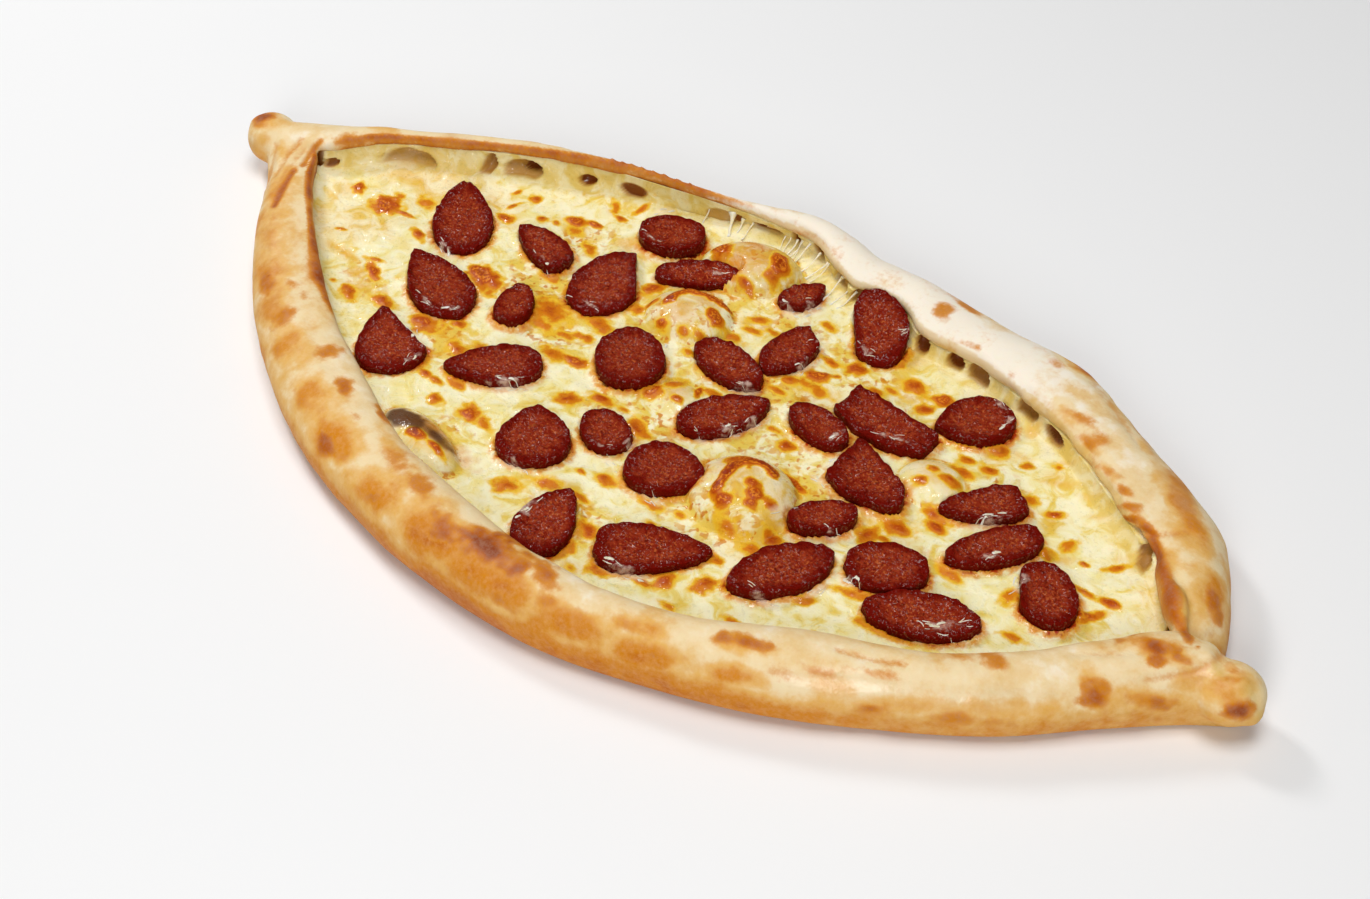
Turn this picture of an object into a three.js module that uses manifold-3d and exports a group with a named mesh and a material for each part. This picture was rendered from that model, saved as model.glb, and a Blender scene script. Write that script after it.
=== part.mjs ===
// A baked boat-shaped flatbread with molten cheese and slices of spiced sausage.
// Millimetres, +Z up, standing on z = 0 with the middle of its box over the origin.
import * as THREE from 'three';
import { mergeVertices } from 'three/addons/utils/BufferGeometryUtils.js';
import Module from 'manifold-3d';

const wasm = await Module();
wasm.setup();

// Driving dimensions
const LEFT_END = -180;          // where the two rims start, inside the left knob
const RIGHT_END = 190;          // where they end, inside the right knob
const END_OF_FAR = 181;         // the far rim is tucked under the near one and ends here
const MIDDLE = [3, -3.5];       // middle of the box that the baked bread fills, in x and y
const BASE = 4;                 // thickness of the dough under the filling
const CLEAR = 0.3;              // gap between pieces that touch
const STATIONS = 56;            // cross-sections along the bread
const END_CROWDING = 0.75;      // 0 spaces the sections evenly, 1 crowds them at the ends
const CHEESE_LEVEL = 9.5;       // level of the molten cheese
const CHEESE_ENDS = [-155.5, 161];
const CHEESE_ROWS = 16;         // strips of the cheese's top, from rim to rim
const SLICE_THICK = 4;
const SLICE_SINK = 1.2;         // how deep a slice lies in the cheese
const SLICE_BEVEL = 0.8;
const SLICE_SIDES = 16;

// Curve through hand-placed points, read as a height over x
function through(points) {
  const slope = points.map((p, i) => {
    const a = points[Math.max(i - 1, 0)];
    const b = points[Math.min(i + 1, points.length - 1)];
    return (b[1] - a[1]) / (b[0] - a[0]);
  });
  return (x) => {
    let i = points.findIndex((p) => p[0] >= x);
    if (i < 0) i = points.length - 1;
    i = Math.max(i, 1);
    const [x0, y0] = points[i - 1];
    const [x1, y1] = points[i];
    const w = x1 - x0;
    const t = THREE.MathUtils.clamp((x - x0) / w, 0, 1);
    const s = 1 - t;
    return y0 * (1 + 2 * t) * s * s + slope[i - 1] * w * t * s * s
      + y1 * (3 - 2 * t) * t * t - slope[i] * w * t * t * s;
  };
}

// The near rim: a smooth roll with a thin lip at its left end, which runs on into the right knob
const near = {
  side: -1,
  outer: through([[-180, 8], [-174, 2], [-165, -6.5], [-150, -24], [-130, -43.5], [-105, -62.5], [-75, -79],
    [-40, -91], [0, -96], [35, -94], [65, -85.5], [95, -73.5], [120, -58.5], [145, -41], [165, -21.5],
    [180, -6], [190, 3]]),
  lip: through([[-180, 13], [-166, 14.5], [-157, 10], [-148, -1], [-130, -17], [-105, -35.5], [-85, -47],
    [-55, -61], [-30, -69.5], [7, -76], [40, -75], [70, -66], [95, -51], [117, -40], [135, -26],
    [150, -8.5], [165, 8], [178, 12], [190, 8]]),
  tall: through([[-180, 17], [-150, 18], [-110, 18.5], [-60, 20], [0, 21], [60, 20.5], [110, 20],
    [150, 19.5], [172, 20], [190, 16]]),
  crown: 0.42,                  // where the crown lies, from lip to outer edge
  recess: () => 1.5,            // how far the wall under the lip stands back
  lipDrop: through([[-180, 1.5], [-120, 2], [-60, 5], [190, 5]]),
  lipThick: 3,
};

// The far rim: a flat folded flap with a thin edge on the left, a thick round roll on the right
const far = {
  side: 1,
  outer: through([[-180, 17], [-170, 23.5], [-150, 36], [-130, 46], [-105, 60.5], [-80, 66], [-50, 73],
    [-30, 79], [-8, 88], [8, 89], [20, 86.5], [50, 86.5], [80, 83.5], [97, 82.5], [115, 74], [145, 59.5],
    [160, 50.5], [170, 35.5], [176, 24], [181, 10]]),
  lip: through([[-180, 6], [-166, 7], [-157, 11.5], [-145, 26], [-130, 36], [-100, 53], [-70, 65.5],
    [-40, 72], [-20, 76], [-3, 78], [10, 72], [19, 68], [27, 69.5], [38, 69], [48, 63.5], [70, 62.5],
    [85, 59.5], [100, 55.5], [112, 50], [130, 39.5], [140, 34], [150, 28], [158, 21], [166, 13], [173, 7],
    [181, 3]]),
  tall: through([[-180, 18], [-165, 19.5], [-110, 20.5], [-60, 21], [-20, 20.5], [5, 20], [40, 20.5],
    [90, 21], [130, 21], [158, 19], [170, 15], [181, 9]]),
  crown: 0.38,
  recess: through([[-180, 1], [-150, 2.5], [-60, 3], [0, 4], [60, 5], [130, 5.5], [150, 2.5], [181, 2]]),
  lipDrop: through([[-180, 2], [-120, 1.5], [-30, 1.5], [10, 2.5], [60, 3], [181, 3]]),
  lipThick: 3.5,
};

// Sections are crowded at both ends, where the outline turns fastest
function stationsBetween(from, to) {
  const all = [];
  for (let i = 0; i < STATIONS; i += 1) {
    const u = (2 * i) / (STATIONS - 1) - 1;
    const spread = Math.sin((u * END_CROWDING * Math.PI) / 2) / Math.sin((END_CROWDING * Math.PI) / 2);
    all.push((LEFT_END + RIGHT_END) / 2 + (spread * (RIGHT_END - LEFT_END)) / 2);
  }
  return [from, ...all.filter((x) => x > from + 0.5 && x < to - 0.5), to];
}

// Section of a rim at x: floor, wall, lip, crown, outer bulge and back to the floor
function rimSection(rim, x) {
  const lip = rim.lip(x);
  const outer = rim.outer(x);
  const tall = rim.tall(x);
  const width = (outer - lip) * rim.side;
  const inward = (t) => lip + rim.side * t;
  const crown = width * rim.crown;
  const lipTop = tall - rim.lipDrop(x);
  const belly = tall * 0.42;
  const tuck = width * 0.22;
  const recess = Math.min(rim.recess(x), width * 0.3);
  const points = [[inward(recess), 0], [inward(recess), lipTop - rim.lipThick]];
  points.push([inward(0.6), lipTop - rim.lipThick * 0.85], [inward(0), lipTop - rim.lipThick * 0.45]);
  for (let i = 0; i < 4; i += 1) {
    const a = (i / 4) * (Math.PI / 2);
    points.push([inward(0.3 + (crown - 0.3) * (1 - Math.cos(a))), lipTop + (tall - lipTop) * Math.sin(a)]);
  }
  for (let i = 0; i < 5; i += 1) {
    const a = (i / 5) * (Math.PI / 2);
    points.push([inward(crown + (width - crown) * Math.sin(a)), belly + (tall - belly) * Math.cos(a)]);
  }
  for (let i = 0; i < 4; i += 1) {
    const a = (i / 3) * (Math.PI / 2);
    points.push([inward(width - tuck + tuck * Math.cos(a)), belly * (1 - Math.sin(a))]);
  }
  return rim.side > 0 ? points.reverse() : points;
}

// Closed body lofted through sections of equal point count, at the given x places
function loft(places, sectionAt) {
  const positions = [];
  const index = [];
  const sections = places.map(sectionAt);
  const n = sections[0].length;
  sections.forEach((section, i) => section.forEach(([y, z]) => positions.push(places[i], y, z)));
  for (let i = 0; i + 1 < places.length; i += 1) {
    for (let j = 0; j < n; j += 1) {
      const a = i * n + j;
      const b = i * n + ((j + 1) % n);
      index.push(a, b, a + n, b, b + n, a + n);
    }
  }
  for (const i of [0, places.length - 1]) {
    const ring = sections[i].map(([y, z]) => new THREE.Vector2(y, z));
    THREE.ShapeUtils.triangulateShape(ring, []).forEach((face) => {
      const facesForward = THREE.ShapeUtils.area(face.map((j) => ring[j])) > 0;
      const corners = facesForward === (i > 0) ? face : face.reverse();
      index.push(...corners.map((j) => i * n + j));
    });
  }
  const geometry = new THREE.BufferGeometry();
  geometry.setAttribute('position', new THREE.Float32BufferAttribute(positions, 3));
  geometry.setIndex(index);
  return geometry;
}

// Geometry to solid and back, for cuts and joins
function toSolid(geometry) {
  const bare = geometry.clone();
  bare.deleteAttribute('normal');
  bare.deleteAttribute('uv');
  const merged = mergeVertices(bare, 1e-4);
  return new wasm.Manifold(new wasm.Mesh({
    numProp: 3,
    vertProperties: new Float32Array(merged.attributes.position.array),
    triVerts: new Uint32Array(merged.index.array),
  }));
}

function toGeometry(solid) {
  const { vertProperties, triVerts } = solid.getMesh();
  const geometry = new THREE.BufferGeometry();
  geometry.setAttribute('position', new THREE.BufferAttribute(new Float32Array(vertProperties), 3));
  geometry.setIndex(new THREE.BufferAttribute(new Uint32Array(triVerts), 1));
  geometry.computeVertexNormals();
  return geometry;
}

// Rounded lump of dough or bubble of cheese, turned by the given angle about Z
function lump([x, y, z], [length, width, height], turn = 0) {
  const ball = new THREE.SphereGeometry(1, 14, 7);
  ball.scale(length, width, height);
  ball.rotateZ(THREE.MathUtils.degToRad(turn));
  ball.translate(x, y, z);
  return toSolid(ball);
}

// Floor of the bread, out to under both rims
function floorSlab() {
  const places = stationsBetween(LEFT_END + 6, RIGHT_END - 8);
  return loft(places, (x) => {
    const low = near.outer(x) * 0.5 + near.lip(x) * 0.5;
    const high = far.outer(x) * 0.5 + far.lip(x) * 0.5;
    return [[low, 0], [high, 0], [high, BASE], [low, BASE]];
  });
}

// Lumps that stand out of the rolled dough: place, half sizes and turn
const LUMPS = [
  { at: [-180, 10.5, 11.5], size: [9.5, 8.5, 8], turn: -10 },     // left knob
  { at: [-184.5, 10, 14.5], size: [4.5, 4, 3.6], turn: 30 },      // and its blister
  { at: [185.8, 4.2, 11], size: [9.5, 9, 8], turn: 40 },          // right knob
  { at: [191.5, 4.2, 9.5], size: [4, 4.5, 4.5], turn: 40 },       // and its pinched tip
  { at: [161, 21.5, 14], size: [14, 3.5, 6], turn: -45 },         // second fold of the far rim
  { at: [168.5, 24.5, 12.5], size: [11, 4.5, 5.5], turn: -48 },   // and the roll beside it
];

// The sheet of dough, pulled up into two rims and pinched into a knob at each end
function doughBody() {
  let body = toSolid(floorSlab());
  body = body.add(toSolid(loft(stationsBetween(LEFT_END, RIGHT_END), (x) => rimSection(near, x))));
  body = body.add(toSolid(loft(stationsBetween(LEFT_END, END_OF_FAR), (x) => rimSection(far, x))));
  LUMPS.forEach(({ at, size, turn }) => {
    body = body.add(lump(at, size, turn));
  });
  const under = new THREE.BoxGeometry(500, 300, 40).translate(0, 0, -20);
  return body.subtract(toSolid(under));
}

// Bubbles that rose in the cheese: place, half length and width, height, turn
const BUBBLES = [
  { at: [47, -20], size: [16, 15], high: 9, turn: 0 },
  { at: [-16, 61], size: [15, 10], high: 7, turn: 0 },
  { at: [-14, 30], size: [13, 11], high: 6, turn: 10 },
  { at: [6, -1], size: [9, 8], high: 3, turn: 0 },
  { at: [84, 19], size: [10, 9], high: 4, turn: 0 },
  { at: [-38, -62], size: [16, 7], high: 6, turn: -14 },
];

// Level of the cheese: gentle waves, a little higher along the rims
function cheeseLevel(x, y) {
  const waves = 0.5 * Math.sin(x / 9 + 1) * Math.cos(y / 8) + 0.35 * Math.sin(x / 5 - y / 6);
  const toWall = Math.min(y - near.lip(x), far.lip(x) - y);
  return CHEESE_LEVEL + waves + 1.2 * Math.exp(-Math.max(toWall, 0) / 6);
}

// Level with the bubbles on it, which is what the slices rest on
function fillingLevel(x, y) {
  let level = cheeseLevel(x, y);
  BUBBLES.forEach(({ at, size, high, turn }) => {
    const away = new THREE.Vector2(x - at[0], y - at[1]);
    away.rotateAround(new THREE.Vector2(), THREE.MathUtils.degToRad(-turn));
    const r = Math.hypot(away.x / size[0], away.y / size[1]);
    if (r < 1) level = Math.max(level, CHEESE_LEVEL + high * Math.sqrt(1 - r * r));
  });
  return level;
}

// Wall that the cheese meets, straight between sections as the dough's own faces are
function wallAt(rim, x) {
  const gap = (CLEAR + 0.25) * Math.hypot(1, (rim.lip(x + 1) - rim.lip(x - 1)) / 2);
  return rim.lip(x) + rim.side * (Math.min(rim.recess(x), 0.3 * Math.abs(rim.outer(x) - rim.lip(x))) - gap);
}

function cheeseBody(slices) {
  const places = stationsBetween(...CHEESE_ENDS);
  let body = toSolid(loft(places, (x) => {
    const low = wallAt(near, x);
    const high = wallAt(far, x);
    const section = [[low, BASE + CLEAR], [high, BASE + CLEAR]];
    for (let j = CHEESE_ROWS; j >= 0; j -= 1) {
      const y = low + ((high - low) * j) / CHEESE_ROWS;
      section.push([y, cheeseLevel(x, y)]);
    }
    return section;
  }));
  BUBBLES.forEach(({ at, size, high, turn }) => {
    const bubble = lump([at[0], at[1], CHEESE_LEVEL - 0.5], [size[0], size[1], high + 0.5], turn);
    const below = new THREE.BoxGeometry(60, 60, 20).translate(at[0], at[1], CHEESE_LEVEL - 13);
    body = body.add(bubble.subtract(toSolid(below)));
  });
  [near, far].forEach((rim) => {
    const lip = (x) => rim.lip(x) - rim.side * CLEAR * 1.5;
    const grown = { ...rim, lip, lipThick: rim.lipThick + 2 * CLEAR };
    body = body.subtract(toSolid(loft(stationsBetween(LEFT_END, END_OF_FAR), (x) => rimSection(grown, x))));
  });
  LUMPS.forEach(({ at, size, turn }) => {
    body = body.subtract(lump(at, size.map((half) => half + 1.5 * CLEAR), turn));
  });
  slices.forEach((slice) => {
    body = body.subtract(toSolid(sliceGeometry(slice, CLEAR + 0.1, 12)));
  });
  return body;
}

// Slices of sausage, cut on a slant: place, length, width on each side of the long axis, turn of
// that axis, how round its two ends are (0.5 round, 1 pointed), the tilts along and across it, how
// far it is raised, and the straight cuts: which way each one faces and how far out it lies
const SLICES = [
  { at: [-100.5, 20.5], long: 32.5, wide: [9.5, 10], turn: -47, ends: [0.85, 0.55], tilt: [-7, 0] },
  { at: [-84, -9], long: 34, wide: [10.5, 9], turn: -22, ends: [0.95, 0.6], tilt: [-3, -2] },
  { at: [-76, -36.8], long: 27, wide: [10.5, 10.3], turn: -38, ends: [0.9, 0.5], tilt: [-4, 0],
    cuts: [[115, 6.5]] },
  { at: [-70.5, 25], long: 24.5, wide: [7, 5.5], turn: -15, ends: [0.65, 0.35], tilt: [0, 3] },
  { at: [-57.5, -0.5], long: 18, wide: [5.5, 6], turn: -65, ends: [0.6, 0.4], tilt: [0, 0] },
  { at: [-42, 55.5], long: 21.5, wide: [8, 8.5], turn: 25, ends: [0.4, 0.4], tilt: [0, 0], raise: 1 },
  { at: [-24, 46.5], long: 27.5, wide: [5, 4.5], turn: 35, ends: [0.55, 0.5], tilt: [0, 16] },
  { at: [-43, 25.5], long: 29.5, wide: [10.5, 11], turn: -85, ends: [0.6, 0.5], tilt: [-5, 0],
    cuts: [[125, 8.5]] },
  { at: [-14.5, 3], long: 25, wide: [10.5, 10.5], turn: -42, ends: [0.55, 0.45], tilt: [0, 0], raise: 1 },
  { at: [7, 59.5], long: 16, wide: [4, 5.5], turn: 64, ends: [0.5, 0.7], tilt: [0, 0] },
  { at: [9.5, 20.5], long: 25.5, wide: [6.5, 7], turn: -10, ends: [0.45, 0.45], tilt: [0, 3], raise: 0.4 },
  { at: [-44, -25], long: 29.5, wide: [7.5, 8], turn: 42, ends: [0.8, 0.45], tilt: [0, 3] },
  { at: [-13.5, -39], long: 24, wide: [10, 11.5], turn: -50, ends: [0.8, 0.5], tilt: [0, 0] },
  { at: [0.5, -24], long: 18, wide: [6, 7.5], turn: -18, ends: [0.5, 0.5], tilt: [0, 2] },
  { at: [13, -62], long: 24, wide: [7.5, 9], turn: -77, ends: [0.75, 0.45], tilt: [-6, 0], cuts: [[115, 7]] },
  { at: [35, 59.8], long: 27.5, wide: [9, 8], turn: -40, ends: [0.6, 0.5], tilt: [-12, 20], raise: 2,
    cuts: [[260, 6.5]] },
  { at: [20, 37.5], long: 26, wide: [6.5, 6.5], turn: 86, ends: [0.55, 0.65], tilt: [0, 3],
    cuts: [[330, 8.5]] },
  { at: [59.5, 30.5], long: 36, wide: [10, 9], turn: -4, ends: [0.5, 0.5], tilt: [0, 6],
    cuts: [[90, 5], [180, 14], [0, 17]] },
  { at: [80, 46], long: 23.5, wide: [9.5, 9], turn: 50, ends: [0.75, 0.5], tilt: [0, 0] },
  { at: [46.5, 15.5], long: 21.5, wide: [6, 6], turn: -11, ends: [0.5, 0.45], tilt: [0, 0] },
  { at: [70.5, 9.5], long: 29.5, wide: [8, 12], turn: -25, ends: [0.55, 0.75], tilt: [0, 0], raise: 0.4,
    cuts: [[93, 5], [209, 11]] },
  { at: [22, 2.5], long: 28.5, wide: [7, 7.5], turn: 61, ends: [0.5, 0.65], tilt: [0, 3], cuts: [[70, 6.5]] },
  { at: [24.5, -26.5], long: 23, wide: [9, 9.5], turn: 20, ends: [0.45, 0.6], tilt: [0, 2], raise: 0.4 },
  { at: [69.5, -13], long: 19.5, wide: [5.5, 5.5], turn: 48, ends: [0.45, 0.45], tilt: [0, 0], raise: 0.8 },
  { at: [41, -51], long: 32, wide: [8, 8.5], turn: 34, ends: [0.35, 0.75], tilt: [0, 3] },
  { at: [73, -35.5], long: 31.5, wide: [8, 8], turn: 61, ends: [0.6, 0.6], tilt: [0, 2] },
  { at: [94.5, -16.8], long: 22.5, wide: [8.5, 8.3], turn: 28, ends: [0.45, 0.5], tilt: [0, 2] },
  { at: [101, 20], long: 26, wide: [6.5, 6], turn: 45, ends: [0.7, 0.4], tilt: [0, 3],
    cuts: [[105, 5.5], [15, 11]] },
  { at: [112, 8], long: 28, wide: [5.5, 6.5], turn: 57, ends: [0.5, 0.4], tilt: [0, 3] },
  { at: [132.5, 2.5], long: 22.5, wide: [8, 8.5], turn: -42, ends: [0.5, 0.5], tilt: [0, 0],
    cuts: [[255, 7]] },
  { at: [111, -24.5], long: 31, wide: [6.8, 7.5], turn: 29, ends: [0.55, 0.6], tilt: [0, 8] },
];

// Outline of a slice, grown outwards by the given amount
function sliceOutline({ long, wide, ends, cuts = [] }, grow) {
  const half = long / 2 + grow;
  const peak = ends[0] / (ends[0] + ends[1]);
  const top = peak ** ends[0] * (1 - peak) ** ends[1];
  const outline = [];
  for (let i = 0; i < SLICE_SIDES; i += 1) {
    const a = (2 * Math.PI * (i + 0.5)) / SLICE_SIDES;
    const t = (1 - Math.cos(a)) / 2;
    const bulge = (t ** ends[0] * (1 - t) ** ends[1]) / top;
    const side = a < Math.PI ? -wide[0] - grow : wide[1] + grow;
    const point = new THREE.Vector2(half * (2 * t - 1), -side * bulge);
    for (const [facing, reach] of cuts) {
      const angle = THREE.MathUtils.degToRad(facing);
      const out = point.x * Math.cos(angle) + point.y * Math.sin(angle);
      if (out > reach + grow) point.multiplyScalar((reach + grow) / out);
    }
    outline.push(point);
  }
  return outline.reverse();
}

// One slice, seated in the cheese; for its pocket it is grown and reaches up out of the filling
function sliceGeometry(slice, grow = 0, reach = 0) {
  const outline = sliceOutline(slice, grow);
  const inner = sliceOutline(slice, grow - SLICE_BEVEL);
  const rings = [
    outline.map((p) => [p.x, p.y, -SLICE_SINK - grow]),
    outline.map((p) => [p.x, p.y, SLICE_THICK - SLICE_SINK - SLICE_BEVEL + reach]),
    inner.map((p) => [p.x, p.y, SLICE_THICK - SLICE_SINK + reach]),
  ];
  const positions = rings.flat(2);
  const n = SLICE_SIDES;
  const last = (rings.length - 1) * n;
  positions.push(0, 0, -SLICE_SINK - grow, 0, 0, SLICE_THICK - SLICE_SINK + reach - 0.3);
  const index = [];
  for (let j = 0; j < n; j += 1) {
    const k = (j + 1) % n;
    for (let r = 0; r < last; r += n) index.push(r + j, r + k, r + n + j, r + k, r + n + k, r + n + j);
    index.push(3 * n, k, j, 3 * n + 1, last + j, last + k);
  }
  const geometry = new THREE.BufferGeometry();
  geometry.setAttribute('position', new THREE.Float32BufferAttribute(positions, 3));
  geometry.setIndex(index);
  geometry.rotateY(THREE.MathUtils.degToRad(-slice.tilt[0]));
  geometry.rotateX(THREE.MathUtils.degToRad(slice.tilt[1]));
  geometry.rotateZ(THREE.MathUtils.degToRad(slice.turn));
  geometry.translate(slice.at[0], slice.at[1], fillingLevel(...slice.at) + (slice.raise ?? 0));
  return geometry;
}

const crust = new THREE.MeshStandardMaterial({ color: 0xe6c088, roughness: 0.6, metalness: 0 });
const cheese = new THREE.MeshStandardMaterial({ color: 0xf0dd98, roughness: 0.35, metalness: 0 });
const sausage = new THREE.MeshStandardMaterial({ color: 0x7a2418, roughness: 0.4, metalness: 0 });

const pide = new THREE.Group();

function addPiece(name, geometry, material) {
  const piece = new THREE.Mesh(geometry, material);
  piece.name = name;
  pide.add(piece);
}

addPiece('dough', toGeometry(doughBody()), crust);
addPiece('cheese', toGeometry(cheeseBody(SLICES)), cheese);
SLICES.forEach((slice, i) => {
  addPiece(`sausage_${String(i + 1).padStart(2, '0')}`, sliceGeometry(slice), sausage);
});

pide.position.set(-MIDDLE[0], -MIDDLE[1], 0);

export default pide;
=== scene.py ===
import math

import bpy
import numpy as np
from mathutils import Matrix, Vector
from mathutils.bvhtree import BVHTree


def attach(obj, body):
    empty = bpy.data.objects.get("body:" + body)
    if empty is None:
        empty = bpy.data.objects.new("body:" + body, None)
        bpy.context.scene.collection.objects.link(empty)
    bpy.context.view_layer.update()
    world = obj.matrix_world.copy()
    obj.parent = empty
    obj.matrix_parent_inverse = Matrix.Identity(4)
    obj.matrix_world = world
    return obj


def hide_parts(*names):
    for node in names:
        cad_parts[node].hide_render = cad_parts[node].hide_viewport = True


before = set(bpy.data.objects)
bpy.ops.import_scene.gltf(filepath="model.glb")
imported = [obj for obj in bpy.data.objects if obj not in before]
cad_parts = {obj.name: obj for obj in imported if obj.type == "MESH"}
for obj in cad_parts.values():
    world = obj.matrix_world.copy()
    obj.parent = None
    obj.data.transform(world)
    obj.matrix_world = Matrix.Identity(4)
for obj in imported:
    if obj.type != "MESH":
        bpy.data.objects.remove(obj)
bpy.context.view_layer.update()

# ---------------------------------------------------------------------------------------------
# The table, the light and the camera.
# A plain white table top under soft boxes, as food is laid out to be looked at: a broad box hangs
# overhead, a small bright one stands at the left and a third low in front; the room fills in.

TABLE_HALF = 4.0           # in metres, like all of this section
TABLE_GAP = 0.0002         # the bread stands this far above it
TABLE_WHITE, TABLE_ROUGHNESS = (0.9, 0.9, 0.9, 1.0), 0.7
ROOM_LIGHT = 0.12

table_white = bpy.data.materials.new("table_white")
table_white.use_nodes = True
table_shader = table_white.node_tree.nodes["Principled BSDF"]
table_shader.inputs["Base Color"].default_value = TABLE_WHITE
table_shader.inputs["Roughness"].default_value = TABLE_ROUGHNESS
table_mesh = bpy.data.meshes.new("table")
table_corners = [(TABLE_HALF * i, TABLE_HALF * j, 0) for i, j in ((-1, -1), (1, -1), (1, 1), (-1, 1))]
table_mesh.from_pydata(table_corners, [], [(0, 1, 2, 3)])
table_mesh.materials.append(table_white)
table = bpy.data.objects.new("table", table_mesh)
table.location.z = -TABLE_GAP
bpy.context.scene.collection.objects.link(table)

world = bpy.data.worlds.new("room")
world.use_nodes = True
world.node_tree.nodes["Background"].inputs["Color"].default_value = (1.0, 1.0, 1.0, 1.0)
world.node_tree.nodes["Background"].inputs["Strength"].default_value = ROOM_LIGHT
bpy.context.scene.world = world
bpy.context.scene.view_settings.view_transform = "Standard"

BOXES = [   # name, place, what it shines at, width, watts
    ("box_overhead", (0.12, -0.1, 1.4), (0, 0, 0), 0.7, 10.6),
    ("box_left", (-0.75, 0.15, 0.7), (0, 0, 0), 0.2, 3.4),
    ("box_front", (0.5, -0.9, 0.55), (0.03, -0.03, 0), 0.45, 4.8),
]
for name, place, aim, width, watts in BOXES:
    data = bpy.data.lights.new(name, "AREA")
    data.shape, data.size, data.energy = "SQUARE", width, watts
    box = bpy.data.objects.new(name, data)
    way = np.array(aim) - np.array(place)
    box.location = place
    box.rotation_euler = (math.acos(-way[2] / np.linalg.norm(way)), 0, math.atan2(-way[0], way[1]))
    bpy.context.scene.collection.objects.link(box)

CAMERA_TURN, CAMERA_RISE = math.radians(39.905), math.radians(44.0)
CAMERA_AWAY = 0.600
CAMERA_AIM = np.array([0.01271, -0.00387, 0.0])
CAMERA_LENS_MM, CAMERA_FILM_MM = 53.91, 36.0
camera_back = np.array([math.sin(CAMERA_TURN) * math.cos(CAMERA_RISE),
                        -math.cos(CAMERA_TURN) * math.cos(CAMERA_RISE), math.sin(CAMERA_RISE)])
camera_data = bpy.data.cameras.new("camera")
camera_data.lens, camera_data.sensor_width = CAMERA_LENS_MM, CAMERA_FILM_MM
camera_data.clip_start, camera_data.clip_end = 0.01, 20
camera = bpy.data.objects.new("camera", camera_data)
camera.location = CAMERA_AIM + camera_back * CAMERA_AWAY
camera.rotation_euler = (math.pi / 2 - CAMERA_RISE, 0, CAMERA_TURN)
bpy.context.scene.collection.objects.link(camera)
bpy.context.scene.camera = camera

# ---------------------------------------------------------------------------------------------
# The dough.
# One sheet of leavened wheat dough, rolled in along both long sides into rims and pinched into a
# knob at each end, then baked until it is pale cream on top, golden below and spotted brown.

MIDDLE = np.array([3.0, -3.5, 0.0])   # places from here on are in mm; this one is over the origin
LEFT_END, RIGHT_END, FAR_END = -180.0, 190.0, 181.0   # the far rim stops short of the near one
BASE = 4.0   # thickness of the dough under the filling


def through(points):
    """Smooth curve through given points, read as a value over x."""
    xs, ys = np.array(points, float).T
    slopes = np.r_[(ys[1] - ys[0]) / (xs[1] - xs[0]), (ys[2:] - ys[:-2]) / (xs[2:] - xs[:-2]),
                   (ys[-1] - ys[-2]) / (xs[-1] - xs[-2])]

    def value(x):
        i = np.clip(np.searchsorted(xs, x), 1, len(xs) - 1)
        wide = xs[i] - xs[i - 1]
        t = np.clip((x - xs[i - 1]) / wide, 0, 1)
        s = 1 - t
        return (ys[i - 1] * (1 + 2 * t) * s * s + slopes[i - 1] * wide * t * s * s
                + ys[i] * (3 - 2 * t) * t * t - slopes[i] * wide * t * t * s)
    return value


def ease(start, end, value):
    """0 before start, 1 after end, smooth between; start may be the larger one."""
    t = np.clip((value - start) / (end - start), 0, 1)
    return t * t * (3 - 2 * t)


HASH_PRIMES = np.array([73856093, 19349663, 83492791])   # spread the cells' numbers evenly


def rough(points, size, seed):
    """Smooth random relief from -1 to 1 with bumps about `size` mm across."""
    seed_apart = 17.3   # in cells
    places = np.asarray(points, float) / size + seed_apart * seed
    cell = np.floor(places).astype(np.int64)
    part = places - cell
    part = part * part * (3 - 2 * part)
    total = np.zeros(len(places))
    for corner in np.ndindex(2, 2, 2):
        key = np.bitwise_xor.reduce((cell + corner) * HASH_PRIMES, axis=1)
        key = (key ^ (key >> 13)) * 1274126177 & 0xFFFFFFF
        value = (key ^ (key >> 11)) % 65536 / 32767.5 - 1
        total += value * np.prod(np.where(corner, part, 1 - part), axis=1)
    return total


def uneven(points, *layers):
    """Sum of rough reliefs, each given by its height, the size of its bumps and its seed."""
    return sum(height * rough(points, size, seed) for height, size, seed in layers)


def turned(turn, u, v):
    """Places in a plane, turned about its origin by so many degrees."""
    c, s = math.cos(math.radians(turn)), math.sin(math.radians(turn))
    return c * u - s * v, s * u + c * v


# A rim, over x: how far out it reaches, its lip over the filling, and its height; the place of the
# crown as a share of its width; how far the wall stands back under the lip, how far the lip lies
# below the crown, and how thick the lip's edge is.
near = dict(
    side=-1,
    outer=through([(-180, 8), (-174, 2), (-165, -6.5), (-150, -24), (-130, -43.5), (-105, -62.5),
                   (-75, -79), (-40, -91), (0, -96), (35, -94), (65, -85.5), (95, -73.5),
                   (120, -58.5), (145, -41), (165, -21.5), (180, -6), (190, 3)]),
    lip=through([(-180, 13), (-166, 14.5), (-157, 10), (-148, -1), (-130, -17), (-105, -35.5),
                 (-85, -47), (-55, -61), (-30, -69.5), (7, -76), (40, -75), (70, -66), (95, -51),
                 (117, -40), (135, -26), (150, -8.5), (165, 8), (178, 12), (190, 8)]),
    tall=through([(-180, 17), (-150, 18), (-110, 18.5), (-60, 20), (0, 21), (60, 20.5),
                  (110, 20), (150, 19.5), (172, 20), (190, 16)]),
    crown=0.42,
    recess=through([(-180, 1.5), (190, 1.5)]),
    drop=through([(-180, 1.5), (-120, 2), (-60, 5), (190, 5)]),
    thick=lambda x: 3.0,
)
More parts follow.
